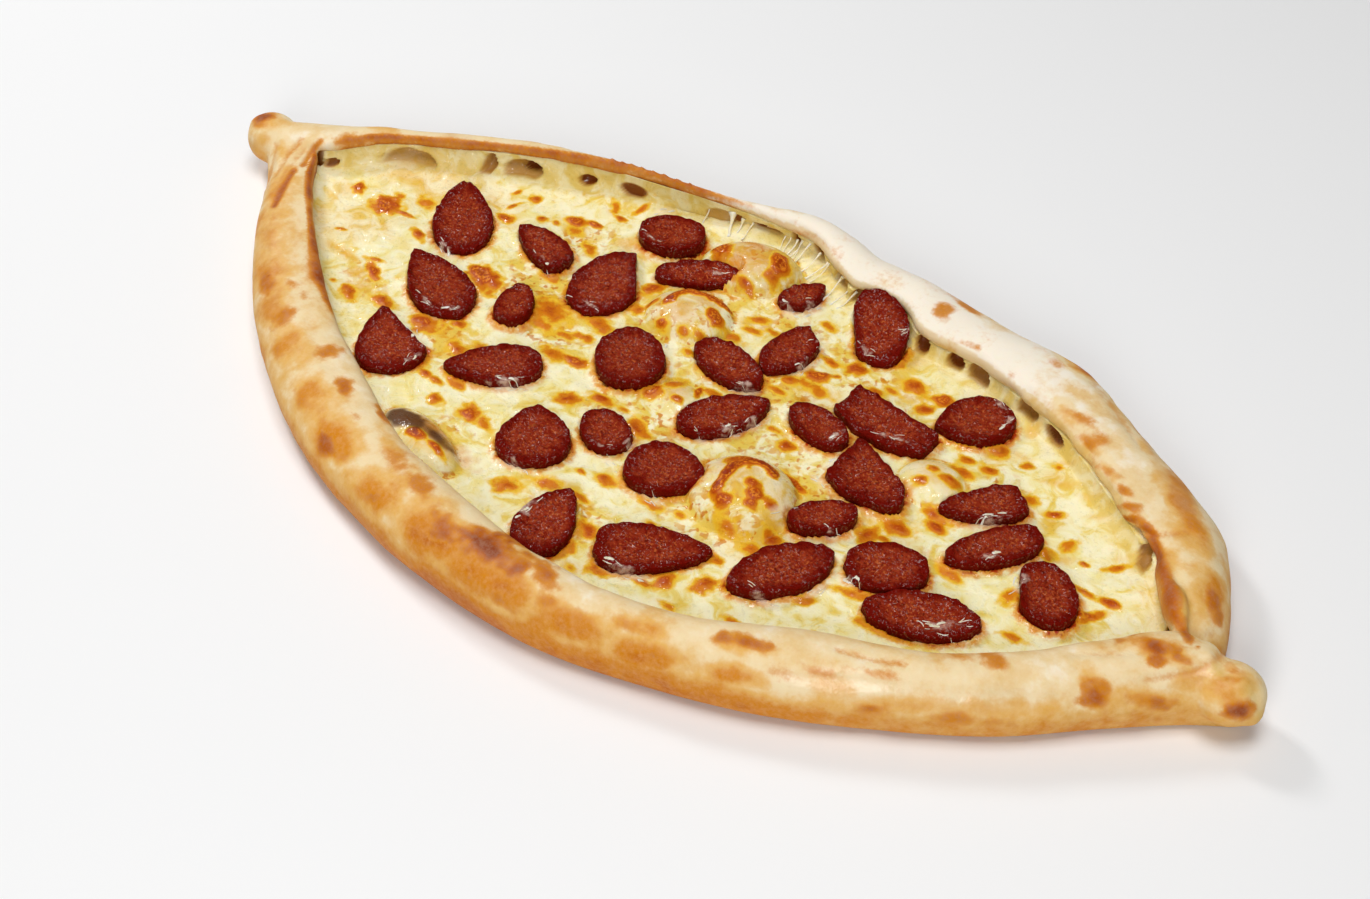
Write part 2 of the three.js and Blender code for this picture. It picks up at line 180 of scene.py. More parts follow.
far = dict(
    side=1,
    outer=through([(-180, 17), (-170, 23.5), (-150, 36), (-130, 46), (-105, 60.5), (-80, 66),
                   (-50, 73), (-30, 79), (-8, 88), (8, 89), (20, 86.5), (50, 86.5), (80, 83.5),
                   (97, 82.5), (115, 74), (145, 59.5), (160, 50.5), (170, 35.5), (176, 24),
                   (181, 10)]),
    lip=through([(-180, 6), (-166, 7), (-157, 11.5), (-145, 26), (-130, 36), (-100, 53),
                 (-70, 65.5), (-40, 72), (-20, 76), (-3, 78), (10, 72), (19, 68), (27, 69.5),
                 (38, 69), (48, 63.5), (70, 62.5), (85, 59.5), (100, 55.5), (112, 50),
                 (130, 39.5), (140, 34), (150, 28), (158, 21), (166, 13), (173, 7), (181, 3)]),
    tall=through([(-180, 18), (-165, 19.5), (-110, 20.5), (-60, 21), (-20, 20.5), (5, 20),
                  (40, 20.5), (90, 21), (130, 21), (158, 19), (170, 15), (181, 9)]),
    crown=0.38,
    recess=through([(-180, 3), (-150, 5), (-60, 5), (0, 7), (60, 7.5), (130, 7.5), (150, 5.5),
                    (181, 3)]),
    drop=through([(-180, 2), (-120, 1.5), (-30, 1.5), (10, 2.5), (60, 3), (181, 3)]),
    thick=through([(-180, 3), (-150, 2.2), (-40, 2.2), (0, 3.2), (181, 3.5)]),
)
BELLY = 0.42          # a rim bulges out the most at this share of its height
TUCK = 0.22           # and draws in below that by this share of its width
DEEPEST_RECESS = 0.5  # the wall stands back by no more than this share of the width
LIP_NOSE = 0.3        # from the lip's edge to where its top starts to rise


def rim_ring(rim, x):
    """Section of a rim at x: up the wall, round the lip, over the crown and down the outside."""
    lip, outer, tall = rim["lip"](x), rim["outer"](x), rim["tall"](x)
    side, drop, thick = rim["side"], rim["drop"](x), rim["thick"](x)
    width = (outer - lip) * side
    crown, belly, tuck = width * rim["crown"], tall * BELLY, width * TUCK
    recess = min(float(rim["recess"](x)), width * DEEPEST_RECESS)
    top = tall - drop
    quarter = math.pi / 2
    # The wall, the underside and the edge of the lip, then distances from the lip and heights of
    # the slope up to the crown, of the outside down to the belly, and of the tuck below it
    ring = [(recess, z) for z in np.linspace(0, top - thick * 1.15, 8)]
    ring += [(recess * 0.5 + 0.3, top - thick), (0.5, top - thick * 0.86), (0.0, top - thick * 0.45)]
    ring += [(LIP_NOSE + (crown - LIP_NOSE) * (1 - math.cos(a)), top + drop * math.sin(a))
             for a in np.linspace(0, quarter, 14)[:-1]]
    ring += [(crown + (width - crown) * math.sin(a), belly + (tall - belly) * math.cos(a))
             for a in np.linspace(0, quarter, 16)[:-1]]
    ring += [(width - tuck + tuck * math.cos(a), belly * (1 - math.sin(a)))
             for a in np.linspace(0, quarter, 10)]
    ring = [(lip + side * t, z) for t, z in ring]
    return ring[::-1] if side > 0 else ring


def belts(count, sides):
    """Faces between so many rings, each with so many points."""
    return [tuple(k * sides + j % sides for k, j in ((i, s), (i, s + 1), (i + 1, s + 1), (i + 1, s)))
            for i in range(count - 1) for s in range(sides)]


def closed_rings(count, sides):
    """The same with both ends closed."""
    ends = [tuple(reversed(range(sides))), tuple(range((count - 1) * sides, count * sides))]
    return belts(count, sides) + ends


def loft(places, ring_at):
    """Closed body through rings of equal length, as points and faces."""
    rings = [ring_at(x) for x in places]
    points = [(x, y, z) for x, ring in zip(places, rings) for y, z in ring]
    return points, closed_rings(len(rings), len(rings[0]))


def ball(place, size, turn):
    """Rounded lump, with its half sizes and its turn about the upright."""
    rows, sides = 14, 24
    points = []
    for i in range(1, rows):
        for j in range(sides):
            a, b = math.pi * i / rows, 2 * math.pi * j / sides
            u, v = turned(turn, size[0] * math.sin(a) * math.cos(b), size[1] * math.sin(a) * math.sin(b))
            points.append((place[0] + u, place[1] + v, place[2] - size[2] * math.cos(a)))
    low, high = len(points), len(points) + 1
    points += [(place[0], place[1], place[2] - size[2]), (place[0], place[1], place[2] + size[2])]
    faces = belts(rows - 1, sides)
    last = (rows - 2) * sides
    for j in range(sides):
        faces.append((low, (j + 1) % sides, j))
        faces.append((high, last + j, last + (j + 1) % sides))
    return points, faces


LUMPS = [   # place, half sizes, turn
    ((-180, 10.5, 11.5), (9.5, 8.5, 8), -10),      # left knob
    ((-184.5, 10, 14.5), (4.5, 4, 3.6), 30),       # and its blister
    ((185.8, 4.2, 11), (9.5, 9, 8), 40),           # right knob
    ((191.5, 4.2, 9.5), (4, 4.5, 4.5), 40),        # and its pinched tip
    ((159.5, 19.5, 14.5), (16, 2.6, 4.6), -47),    # second fold of the far rim
]


def floor_ring(x):
    """Section of the sheet under the filling, from the middle of one rim to that of the other."""
    low = (near["outer"](x) + near["lip"](x)) / 2
    high = (far["outer"](x) + far["lip"](x)) / 2
    return [(low, 0), (high, 0), (high, BASE), (low, BASE)]


def mesh_of(name, points, faces):
    """Mesh in metres over the origin from points in mm."""
    mesh = bpy.data.meshes.new(name)
    mesh.from_pydata(((np.asarray(points, float) - MIDDLE) / 1000).tolist(), [], faces)
    return mesh


def put(name, mesh):
    piece = bpy.data.objects.new(name, mesh)
    bpy.context.scene.collection.objects.link(piece)
    return piece


def settled(piece):
    """Replaces the piece's mesh with what its modifiers make of it."""
    view = bpy.context.evaluated_depsgraph_get()
    view.update()
    made = bpy.data.meshes.new_from_object(piece.evaluated_get(view))
    piece.modifiers.clear()
    old, piece.data = piece.data, made
    bpy.data.meshes.remove(old)


def places_of(mesh):
    """The mesh's points, back in mm."""
    flat = np.empty(len(mesh.vertices) * 3)
    mesh.vertices.foreach_get("co", flat)
    return flat.reshape(-1, 3) * 1000 + MIDDLE


def move_to(mesh, points):
    mesh.vertices.foreach_set("co", ((points - MIDDLE) / 1000).ravel())
    mesh.update()


def normals_of(mesh):
    flat = np.empty(len(mesh.vertices) * 3)
    mesh.vertex_normals.foreach_get("vector", flat)
    return flat.reshape(-1, 3)


def paint(mesh, name, values):
    """Stores one number a point for the material to read."""
    mesh.attributes.new(name, "FLOAT", "POINT").data.foreach_set("value", values.astype(np.float32))


def crowded(start, end, count):
    """Places along x that lie closer together towards both ends."""
    crowding, gap = 1.2, 0.4
    x = np.sin(np.linspace(-1, 1, count) * crowding) / math.sin(crowding)
    x = (LEFT_END + RIGHT_END) / 2 + x * (RIGHT_END - LEFT_END) / 2
    return [start, *[v for v in x if start + gap < v < end - gap], end]


def joined(parts):
    """One list of points and one of faces from several bodies."""
    all_points, all_faces = [], []
    for part_points, part_faces in parts:
        all_faces += [tuple(i + len(all_points) for i in face) for face in part_faces]
        all_points += list(part_points)
    return all_points, all_faces


RIM_SECTIONS, FLOOR_SECTIONS = 220, 120
FLOOR_ENDS = (LEFT_END + 6, RIGHT_END - 8)
SKIN_GRAIN = 0.00095   # in metres, the size of the one skin's faces
KEPT_FACES = 0.62      # share of them that is left once the flat ones out of sight are thinned

dough = put("dough_crust", mesh_of("dough_crust", *joined([
    loft(crowded(LEFT_END, RIGHT_END, RIM_SECTIONS), lambda x: rim_ring(near, x)),
    loft(crowded(LEFT_END, FAR_END, RIM_SECTIONS), lambda x: rim_ring(far, x)),
    loft(crowded(*FLOOR_ENDS, FLOOR_SECTIONS), floor_ring),
    *[ball(*lump) for lump in LUMPS]])))
remesh = dough.modifiers.new("one_skin", "REMESH")
remesh.mode, remesh.voxel_size = "VOXEL", SKIN_GRAIN
smooth = dough.modifiers.new("soften", "SMOOTH")
smooth.factor, smooth.iterations = 0.5, 5
settled(dough)

x, y, z = places_of(dough.data).T
skin_deep, from_lips = 0.6, 3.0
under_filling = (z < BASE + skin_deep) & (y > near["lip"](x) + from_lips) & (y < far["lip"](x) - from_lips)
out_of_sight = np.where((z < skin_deep) | under_filling)[0]
dough.vertex_groups.new(name="flat").add(out_of_sight.tolist(), 1.0, "REPLACE")
thin = dough.modifiers.new("thin_out", "DECIMATE")
thin.ratio, thin.vertex_group, thin.vertex_group_factor = KEPT_FACES, "flat", 1.0
settled(dough)

# What the rolling, pinching and baking did to the skin. A mark is (x, y, half length, half width,
# turn, strength). It lies where it shows from the front right, so it is placed on one level and
# slides down the slopes below that along the line of sight.
MARK_LEVEL = 17.0
MARK_SLANT = np.array([0.665, -0.794])
MARK_SLIDE = 1.0355   # mm along the slant for each mm down
# Blistered brown spots
SPOTS = [
    (13, -83, 11, 6, 5, 1.25), (-5, -85, 6.5, 4, -20, 0.75), (-4, -89, 4, 3, 0, 0.6),
    (30, -80, 6.5, 3.6, -20, 0.9), (36, -87, 4, 3, 0, 0.5), (45, -87, 6, 4, 0, 0.5),
    (-27, -90, 5, 3.5, 0, 0.55), (-33, -74, 8, 4, -15, 0.45), (-19, -78, 6, 3, -15, 0.5),
    (-52, -84.5, 5.5, 3.5, -40, 0.8), (-45, -84, 3, 5, 0, 0.35), (-54, -70, 3, 2.2, 0, 0.55),
    (-47, -63.5, 9, 3, -10, 0.85), (-65, -64, 4, 2.6, -20, 0.75), (-81, -56, 3, 3, 0, 0.5),
    (-80, -56, 4.5, 4, 0, 0.68), (-102, -55, 4.5, 5.5, 20, 0.62), (-111, -54, 6, 3, -40, 0.35),
    (-112, -42, 3.5, 2, 0, 0.42), (-104, -44, 3, 2, 0, 0.35), (-131, -33, 4.5, 3, -40, 0.3),
    (-120, -44, 0.9, 0.9, 0, 0.8), (-141, -24, 5, 2.5, -50, 0.3), (84, -65, 7.5, 2.6, 25, 0.85),
    (98, -67, 5, 3.5, 0, 0.35), (104, -61, 6, 2.6, 10, 0.38), (123, -63, 5, 2.8, 35, 0.62),
    (136, -29, 4, 3.2, 0, 0.55), (128, -34, 5, 2, 30, 0.3), (163.4, -23, 6.5, 4, -40, 0.95),
    (159, -19.6, 3.2, 2.2, 0, 0.6), (184.2, 6.5, 2.4, 1.6, 0, 0.5), (175.5, -15.5, 8, 3.6, 20, 0.75),
    (163, 0.6, 5.6, 3.2, 20, 1.0), (167, -2.6, 3, 2.4, 0, 0.75), (171.3, 0.9, 2.6, 1.8, 0, 0.6),
    (184, 6, 2, 1, 0, 0.5), (173, 7, 0.8, 0.6, 0, 0.9), (150, -46, 6, 2, 35, 0.3),
    (116, -52, 8, 2, 30, 0.35), (70, -84, 8, 3, 12, 0.45), (58, -80, 6, 2.6, 0, 0.35),
    (20, -95, 12, 2.6, 0, 0.5), (-70, -76, 7, 2.8, -25, 0.4), (-92, -66, 6, 2.6, -35, 0.4),
    (140, -53, 7, 2.5, 38, 0.4), (194, -3.4, 4.6, 4.6, 40, 1.25), (-186, 12, 3.8, 3.2, 0, 1.0),
    (-183, 8, 2.5, 2, 0, 0.4), (111, 54, 4, 2.6, -20, 0.5), (104, 61, 6, 2, 0, 0.4),
    (113, 57, 2.4, 3.6, 20, 0.42), (121, 48, 5.5, 2.4, -10, 0.45), (133.7, 39.4, 2.6, 2.2, 0, 0.8),
    (136.6, 35.7, 2.2, 1.9, 0, 0.75), (142.2, 35.2, 3.4, 2.2, -30, 0.9), (128.5, 44, 3.4, 2, -30, 0.75),
    (155, 23, 3, 1.8, -48, 0.6), (164.3, 12.6, 4, 1.8, -52, 0.8), (169.2, 24.4, 4.6, 2, -50, 0.7),
    (174.1, 19.5, 3.6, 1.8, -55, 0.6), (79, 64, 2.4, 1.6, -30, 0.5), (63, 67, 3.5, 1.4, 0, 0.32),
    (48, 75, 3, 4, 20, 0.5), (87, 76, 2.6, 2, 0, 0.42), (95, 79, 6.5, 2, 0, 0.72),
    (52, 81, 7, 1.4, -5, 0.5), (120, 69, 9, 2.2, -35, 0.4), (140, 57, 9, 3, -35, 0.45),
    (150, 46, 9, 2.4, -20, 0.4), (-118, -47, 9, 3.4, -38, 0.6), (-152, 22, 6.5, 3.2, 30, 0.6),
    (-104, 61, 1.6, 1.2, 0, 0.4), (-10, 77, 8, 1.6, 20, 0.3), (-18, 73.5, 4, 1.6, 25, 0.3),
]
# Dull stains, where filling or oil ran over the skin
STAINS = [
    (-123, 46, 8, 2.6, 12, 0.8), (-79, 64, 8, 3, 8, 0.75), (52, 82, 9, 2, -5, 0.7),
    (145, 52, 13, 4.5, -32, 0.8), (173, 21, 5, 3, -60, 0.7), (128, 62, 8, 2.2, -38, 0.4),
    (-158, 10, 6, 2, -75, 0.8), (-181, -1, 5, 3, 0, 0.45), (111, 55, 5, 3, 0, 0.4),
    (-111, -53, 8, 3.5, -40, 0.45), (14, 96, 9, 2, 0, 0.3), (-40, 76, 9, 1.5, 12, 0.4),
]
# Broad golden patches, where the skin faced the heat of the oven
GOLDEN = [
    (-152, -12, 14, 7, -60, 0.6), (-140, -28, 14, 9, -50, 0.6), (-122, -42, 14, 8, -42, 0.6),
    (-106, -55, 10, 7, -35, 0.75), (-88, -62, 12, 8, -32, 0.7), (-70, -72, 14, 9, -28, 0.75),
    (-50, -80, 14, 9, -22, 0.85), (-28, -88, 16, 9, -15, 0.95), (-38, -72, 12, 4, -15, 0.55),
    (-5, -90, 18, 10, -5, 1.1), (20, -92, 18, 9, 0, 1.1), (45, -90, 16, 8, 10, 1.1),
    (68, -85, 14, 7, 18, 1.0), (60, -78, 10, 4, 10, 0.6), (90, -76, 12, 5, 25, 0.9),
    (84, -66, 9, 4, 20, 0.7), (112, -62, 10, 5, 30, 0.6), (128, -58, 12, 5, 35, 0.6),
    (150, -40, 12, 5, 42, 0.55), (165, -20, 8, 6, 50, 0.6), (165, 0, 9, 5, 10, 0.6),
    (178, -5, 8, 4, 60, 0.5), (187, 1, 7, 7, 0, 0.85), (163, -22, 13, 6, -35, 0.95),
    (176, -14, 10, 5, 20, 0.8), (-150, 30, 12, 5, 30, 0.3), (150, 42, 16, 7, -40, 0.45),
    (118, 66, 14, 4, -35, 0.4), (165, 25, 10, 5, -50, 0.6), (-20, 84, 12, 3, 20, 0.3),
    (60, 80, 14, 4, 0, 0.3), (-176, 4, 6, 5, 0, 0.35), (92, 79, 9, 3.5, -15, 0.9),
    (109, 72, 8, 2.6, -25, 0.7), (124, 63, 9, 3, -35, 0.8), (142, 51, 9, 6, -40, 0.95),
    (156, 41, 8, 4, -45, 0.8), (168, 27, 9, 5, -50, 0.95), (101, 60, 8, 3, -30, 0.6),
    (112, 54, 7, 3.5, -40, 0.75), (121, 48, 7, 3, -35, 0.7), (133, 54, 6, 3, -40, 0.5),
    (152, 28, 6, 5, -45, 0.7), (162, 18, 7, 5, -50, 0.7), (-180, 10, 8, 7, 0, 0.4),
    (-168, 3, 7, 6, -50, 0.5),
]
# Where the oil of the hands left the skin shining
SHINING = [(112, -60, 26, 6, 32, 1.0), (142, -42, 24, 6, 42, 1.0), (180, 0, 11, 7, 50, 0.8),
           (20, -88, 40, 6, 2, 0.5), (-130, -34, 24, 5, -40, 0.4)]
# Folds pressed into the skin: places along them, half width, depth and browning
CREASES = [
    ([(-155, -2), (-151, -10), (-146, -19)], 1.5, 0.8, 0.9),
    ([(-161, 8), (-157, -3), (-152, -13)], 1.2, 0.5, 0.25),
    ([(-171, 4), (-163, -7), (-157, -14)], 1.3, 0.5, 0.3),
    ([(-166, 12), (-163, 2), (-158, -8)], 1.2, 0.5, 0.35),
    ([(-160, 15), (-158, 8), (-155, 2)], 1.4, 0.8, 0.7),
    ([(176, 14), (168, 3), (158, -7), (150, -14)], 1.4, 0.5, 0.15),
    ([(122, -31), (131, -26), (141, -18), (147, -9)], 1.1, 0.6, 0.35),
    ([(103, -52), (112, -49), (119, -45)], 1.2, 0.5, 0.35),
    ([(180, 10), (177, 0), (170, -10)], 1.6, 0.5, 0.25),
    ([(151, 42), (146, 37), (141, 33)], 1.3, 0.7, 0.3),
    ([(-95, -50), (-80, -58), (-60, -66)], 2.0, 0.3, 0.1),
    ([(142, 35.5), (151.5, 26.5), (158, 20), (164, 13), (170, 8.5)], 1.7, 0.0, 0.9),
    ([(-12, 80), (-3, 79), (8, 76)], 1.5, 0.5, 0.15),
    ([(100, 76), (110, 71), (124, 62)], 1.6, 0.4, 0.2),
]


def marked(plan, marks, ragged):
    """Strongest mark at each place: its strength in the middle, and 0 a quarter past its edge."""
    reach = 1.25
    best = np.full(len(plan), -1.0)
    for x, y, long, wide, turn, strength in marks:
        u, v = turned(-turn, plan[:, 0] - x, plan[:, 1] - y)
        off = np.hypot(u / long, v / wide)
        best = np.maximum(best, strength * np.clip(reach - off + ragged, -1, 1))
    return best


def shown(plan, marks, ragged):
    """The same, kept between 0 and 1."""
    return np.clip(marked(plan, marks, ragged), 0, 1)


def from_line(plan, line):
    """Distance of each place from a bent line."""
    best = np.full(len(plan), 1e3)
    for a, b in zip(np.array(line[:-1], float), np.array(line[1:], float)):
        way = b - a
        t = np.clip(((plan - a) @ way) / (way @ way), 0, 1)
        best = np.minimum(best, np.linalg.norm(plan - a - t[:, None] * way, axis=1))
    return best


def ridge(off, wide, middle=0.0):
    """1 at the given distance from a line, fading to both sides of it."""
    return np.exp(-((off - middle) / wide) ** 2)


STANDS_BELOW, FREE_ABOVE = 0.6, 4.0   # the underside is flat, and nothing moves it
SINKS_ABOVE, SUNK = 18.0, 0.88        # dough that rose past this level sank back to that share

at = places_of(dough.data)
outward = normals_of(dough.data)
x, y, z = at.T
slide = (MARK_LEVEL - z)[:, None] * MARK_SLIDE * MARK_SLANT[None] / np.linalg.norm(MARK_SLANT)
plan = at[:, :2] + slide
ripple = uneven(at, (0.75, 34, 1), (0.42, 13, 2), (0.16, 5, 3))
fold_brown = np.zeros(len(at))
pressed = np.zeros(len(at))
for line, wide, deep, brown in CREASES:
    groove = ridge(from_line(plan, line) + 0.4 * rough(at, 6, 4), wide)
    pressed = np.maximum(pressed, deep * groove)
    fold_brown = np.maximum(fold_brown, brown * groove)

# The thin edge of the folded flap, which toasts first: along the far lip at the left, and along
# the near lip down to where it turns into a roll
steep_near, steep_far = ((rim["lip"](x + 1) - rim["lip"](x - 1)) / 2 for rim in (near, far))
off_near = (near["lip"](x) - y) / np.hypot(1, steep_near)
off_far = (y - far["lip"](x)) / np.hypot(1, steep_far)
edge_wide = through([(-160, 0.7), (-150, 0.9), (-125, 1.0), (-112, 2.8), (-104, 1.6), (-95, 0.6)])
edge_near = ease(-162, -156, x) * ease(-88, -100, x) * ridge(off_near, edge_wide(x), 1.0) * ease(8, 11, z)
edge_far = ease(-158, -150, x) * ease(-18, -48, x) * ridge(off_far, 0.8, 0.9) * ease(14, 16, z)
frayed = 1 + uneven(at, (0.35, 5, 12), (0.2, 1.8, 13))

# The skin moves outwards: the edge swells to a bead, the far lip at the right is scalloped by the
# fingers that folded it, and the brown spots have blistered
bead = 0.55 * edge_far * (1 + 0.5 * rough(at, 4, 5)) + 0.3 * edge_near
scallops = 1.3 * rough(at, 5, 14) * ease(50, 90, x) * ridge(off_far, 2.0, 0.6) * ease(13, 15.5, z)
blisters = 0.25 * shown(plan, SPOTS, 0)
swell = ease(STANDS_BELOW, FREE_ABOVE, z) * (ripple - pressed + bead + scallops + blisters)
at = at + outward * swell[:, None]
at[:, 2] = np.minimum(at[:, 2], SINKS_ABOVE + SUNK * (at[:, 2] - SINKS_ABOVE))
move_to(dough.data, at)

# The numbers that the crust's material reads
spotted = marked(plan, SPOTS, uneven(at, (0.5, 6, 6), (0.3, 2, 7))) * ease(3.0, 7.0, z)
edge_brown = np.maximum(edge_far * 0.78, edge_near * 0.9) * frayed
paint(dough.data, "brown", np.maximum(np.maximum(spotted, fold_brown), edge_brown))
paint(dough.data, "stain", shown(plan, STAINS, 0.3 * rough(at, 5, 8)))
paint(dough.data, "shining", shown(plan, SHINING, 0.3 * rough(at, 6, 11)))
golden = marked(plan, GOLDEN, uneven(at, (0.25, 12, 9), (0.2, 4, 10)))
golden_side = through([(-190, 0.5), (-150, 0.45), (-105, 0.6), (-70, 0.8), (0, 1.0), (60, 1.0),
                       (110, 0.75), (150, 0.6), (190, 0.6)])
near_side = ease(18, 6, z) * golden_side(x) * (off_near > 0)
far_side = ease(17, 5, z) * 0.75 * ease(1.5, 4.5, off_far)
facing_out = np.maximum(near_side, far_side)
pale_top = 0.6 * ease(-70, -20, x) * ease(150, 60, x) * (off_far > -1) * ease(14, 18, z)
gold = np.clip(np.maximum(golden, facing_out) + 0.25 * facing_out, 0, 1.3)
paint(dough.data, "gold", gold - pale_top)
beside_filling = np.exp(-np.minimum(np.abs(off_far), 20) / 3.0) * ease(-150, -120, x)
paint(dough.data, "oily", np.clip(beside_filling * (z < 18.5), 0, 1))

# Crust: pale matt flour skin, golden where it faced the oven floor, with blistered brown marks
class Nodes:
    """Short hand for wiring one node tree."""

    def __init__(self, tree):
        self.tree = tree

    def set(self, socket, value):
        if hasattr(value, "is_linked"):
            self.tree.links.new(value, socket)
        else:
            socket.default_value = value

    def add(self, kind, inputs=(), **settings):
        node = self.tree.nodes.new(kind)
        for name, value in settings.items():
            setattr(node, name, value)
        for socket, value in dict(inputs).items():
            self.set(node.inputs[socket], value)
        return node

    def number(self, name):
        """One of the numbers painted on the mesh."""
        return self.add("ShaderNodeAttribute", attribute_name=name).outputs["Fac"]

    def group(self, name, **inputs):
        labels = {label.replace("_", " "): value for label, value in inputs.items()}
        return self.add("ShaderNodeGroup", labels, node_tree=bpy.data.node_groups[name]).outputs[0]

    def clouds(self, scale, detail, roughness, distortion):
        """Noise that lies still on the piece."""
        where = self.add("ShaderNodeTexCoord").outputs["Object"]
        return self.add("ShaderNodeTexNoise", {"Vector": where, "Scale": scale, "Detail": detail,
                                               "Roughness": roughness,
                                               "Distortion": distortion}).outputs[0]

    def noise(self, size_mm, detail=3.0, roughness=0.55, distortion=0.0):
        """Cloudy tone for colours, relief and roughness."""
        return self.group("uneven_tone", Size_mm=size_mm, Detail=detail, Roughness=roughness,
                          Distortion=distortion)

    def glints(self, size_mm, detail, start, end, roughness=0.55):
        """Wet spots. They drive the shine too, which no group feeds, so they stand outside one."""
        return self.between(self.clouds(1000.0 / size_mm, detail, roughness, 0.0), start, end)

    def maths(self, operation, a, b):
        return self.add("ShaderNodeMath", {0: a, 1: b}, operation=operation).outputs[0]

    def plus(self, a, b):
        return self.maths("ADD", a, b)

    def times(self, a, b):
        return self.maths("MULTIPLY", a, b)

    def swing(self, cloud, by):
        """How far a cloudy tone is from its middle, made as large as given."""
        return self.times(self.maths("SUBTRACT", cloud, 0.5), by)

    def between(self, value, start, end, low=0.0, high=1.0):
        """Eases from low to high as value goes from start to end."""
        return self.add("ShaderNodeMapRange", {"Value": value, "From Min": start, "From Max": end,
                                               "To Min": low, "To Max": high},
                        interpolation_type="SMOOTHSTEP").outputs[0]

    def layered(self, colour, *layers):
        """Colour with others laid over it, each given by how much of it shows and its colour."""
        for share, tone in layers:
            mix = self.add("ShaderNodeMix", {0: share, 6: colour, 7: tone}, data_type="RGBA")
            colour = mix.outputs[2]
        return colour

    def bump(self, height, depth_mm, **normal):
        depth = self.maths("DIVIDE", depth_mm, 1000.0)
        return self.add("ShaderNodeBump", {"Height": height, "Distance": depth, **normal}).outputs[0]


def shader_group(name, inputs, output, kind):
    """New node group: its inputs with their usual values, and its one output."""
    tree = bpy.data.node_groups.new(name, "ShaderNodeTree")
    for label, value in inputs.items():
        socket_type = "NodeSocketColor" if isinstance(value, tuple) else "NodeSocketFloat"
        tree.interface.new_socket(name=label, in_out="INPUT", socket_type=socket_type) \
            .default_value = value
    tree.interface.new_socket(name=output, in_out="OUTPUT", socket_type=kind)
    n = Nodes(tree)
    return n, n.add("NodeGroupInput").outputs, n.add("NodeGroupOutput").inputs[output]


def srgb(*levels):
    """Colour as seen, 0 to 255, into the shader's linear values."""
    return (*((v / 255 / 12.92) if v <= 10 else ((v / 255 + 0.055) / 1.055) ** 2.4
              for v in levels), 1.0)


# Cloudy tone with features about the given size across
n, given, result = shader_group("uneven_tone", {"Size mm": 5.0, "Detail": 3.0, "Roughness": 0.55,
                                                "Distortion": 0.0}, "Value", "NodeSocketFloat")
n.set(result, n.clouds(n.maths("DIVIDE", 1000.0, given["Size mm"]), given["Detail"],
                       given["Roughness"], given["Distortion"]))

# Colour of food as the heat on it rises from none to scorched; each stage starts at its own heat
# and is complete a little above it, the sooner the less softness is given
BAKED = {"Yellow": (-0.22, 0.42), "Golden": (0.02, 0.36), "Brown": (0.30, 0.45), "Dark": (0.72, 0.43)}
RAW, COOKED = srgb(240, 225, 180), srgb(200, 120, 40)
n, given, result = shader_group("browning", {"Colour": RAW, "Heat": 0.0, "Softness": 1.0,
                                             **dict.fromkeys(BAKED, COOKED)},
                                "Colour", "NodeSocketColor")
colour = given["Colour"]
for stage, (start, width) in BAKED.items():
    complete = n.plus(n.times(given["Softness"], width), start)
    colour = n.layered(colour, (n.between(given["Heat"], start, complete), given[stage]))
n.set(result, colour)

# Small relief of a skin: fine bumps on coarse ones
n, given, result = shader_group("relief", {"Fine": 0.5, "Fine Depth mm": 0.1, "Coarse": 0.5,
                                           "Coarse Depth mm": 0.3}, "Normal", "NodeSocketVector")
n.set(result, n.bump(given["Fine"], given["Fine Depth mm"],
                     Normal=n.bump(given["Coarse"], given["Coarse Depth mm"])))


def food_material(name, **plain):
    """New material and the short hand for its nodes; plain values go on the shader's sockets."""
    material = bpy.data.materials.new(name)
    material.use_nodes = True
    shader = material.node_tree.nodes["Principled BSDF"]
    for label, value in plain.items():
        shader.inputs[label.replace("_", " ")].default_value = value
    return material, Nodes(material.node_tree), shader.inputs


DOUGH_PALE, DOUGH_WARM, DOUGH_WHITE = srgb(240, 216, 170), srgb(232, 196, 134), srgb(249, 238, 220)
GOLD_LIGHT, GOLD_DEEP, GOLD_DARK = srgb(228, 172, 78), srgb(212, 132, 8), srgb(190, 98, 0)
OIL_SOAKED, STAINED, FLOURED = srgb(226, 190, 100), srgb(200, 144, 96), srgb(250, 234, 200)
SPOT_GOLDEN, SPOT_BROWN, SPOT_DARK = srgb(212, 134, 20), srgb(182, 92, 2), srgb(140, 56, 0)

crust, n, skin = food_material("crust", Subsurface_Weight=0.12, Subsurface_Scale=1.0,
                               Subsurface_Radius=(0.004, 0.0022, 0.001))
mottle = n.noise(9, 4, 0.6)
fine = n.noise(1.6, 4, 0.65)
cloud = n.plus(n.swing(mottle, 1.3), n.swing(n.noise(26, 3, 0.5), 0.7))
gold = n.plus(n.number("gold"), cloud)
colour = n.layered(DOUGH_PALE,
                   (n.between(mottle, 0.35, 0.7), DOUGH_WARM),
                   (n.between(gold, -0.1, -0.5), DOUGH_WHITE),
                   (n.between(gold, 0.05, 0.5, 0.0, 0.85), GOLD_LIGHT),
                   (n.between(gold, 0.4, 0.95), GOLD_DEEP),
                   (n.between(gold, 0.95, 1.4, 0.0, 0.85), GOLD_DARK),
                   (n.times(n.number("oily"), 0.55), OIL_SOAKED),
                   (n.times(n.number("stain"), n.between(mottle, 0.2, 0.75)), STAINED))
heat = n.plus(n.plus(n.number("brown"), n.times(cloud, 0.45)), n.swing(fine, 0.6))
colour = n.group("browning", Colour=colour, Heat=heat, Softness=1.3, Yellow=colour,
                 Golden=SPOT_GOLDEN, Brown=SPOT_BROWN, Dark=SPOT_DARK)
n.set(skin["Base Color"], n.layered(colour, (n.between(fine, 0.3, 0.75, 0.0, 0.12), FLOURED)))
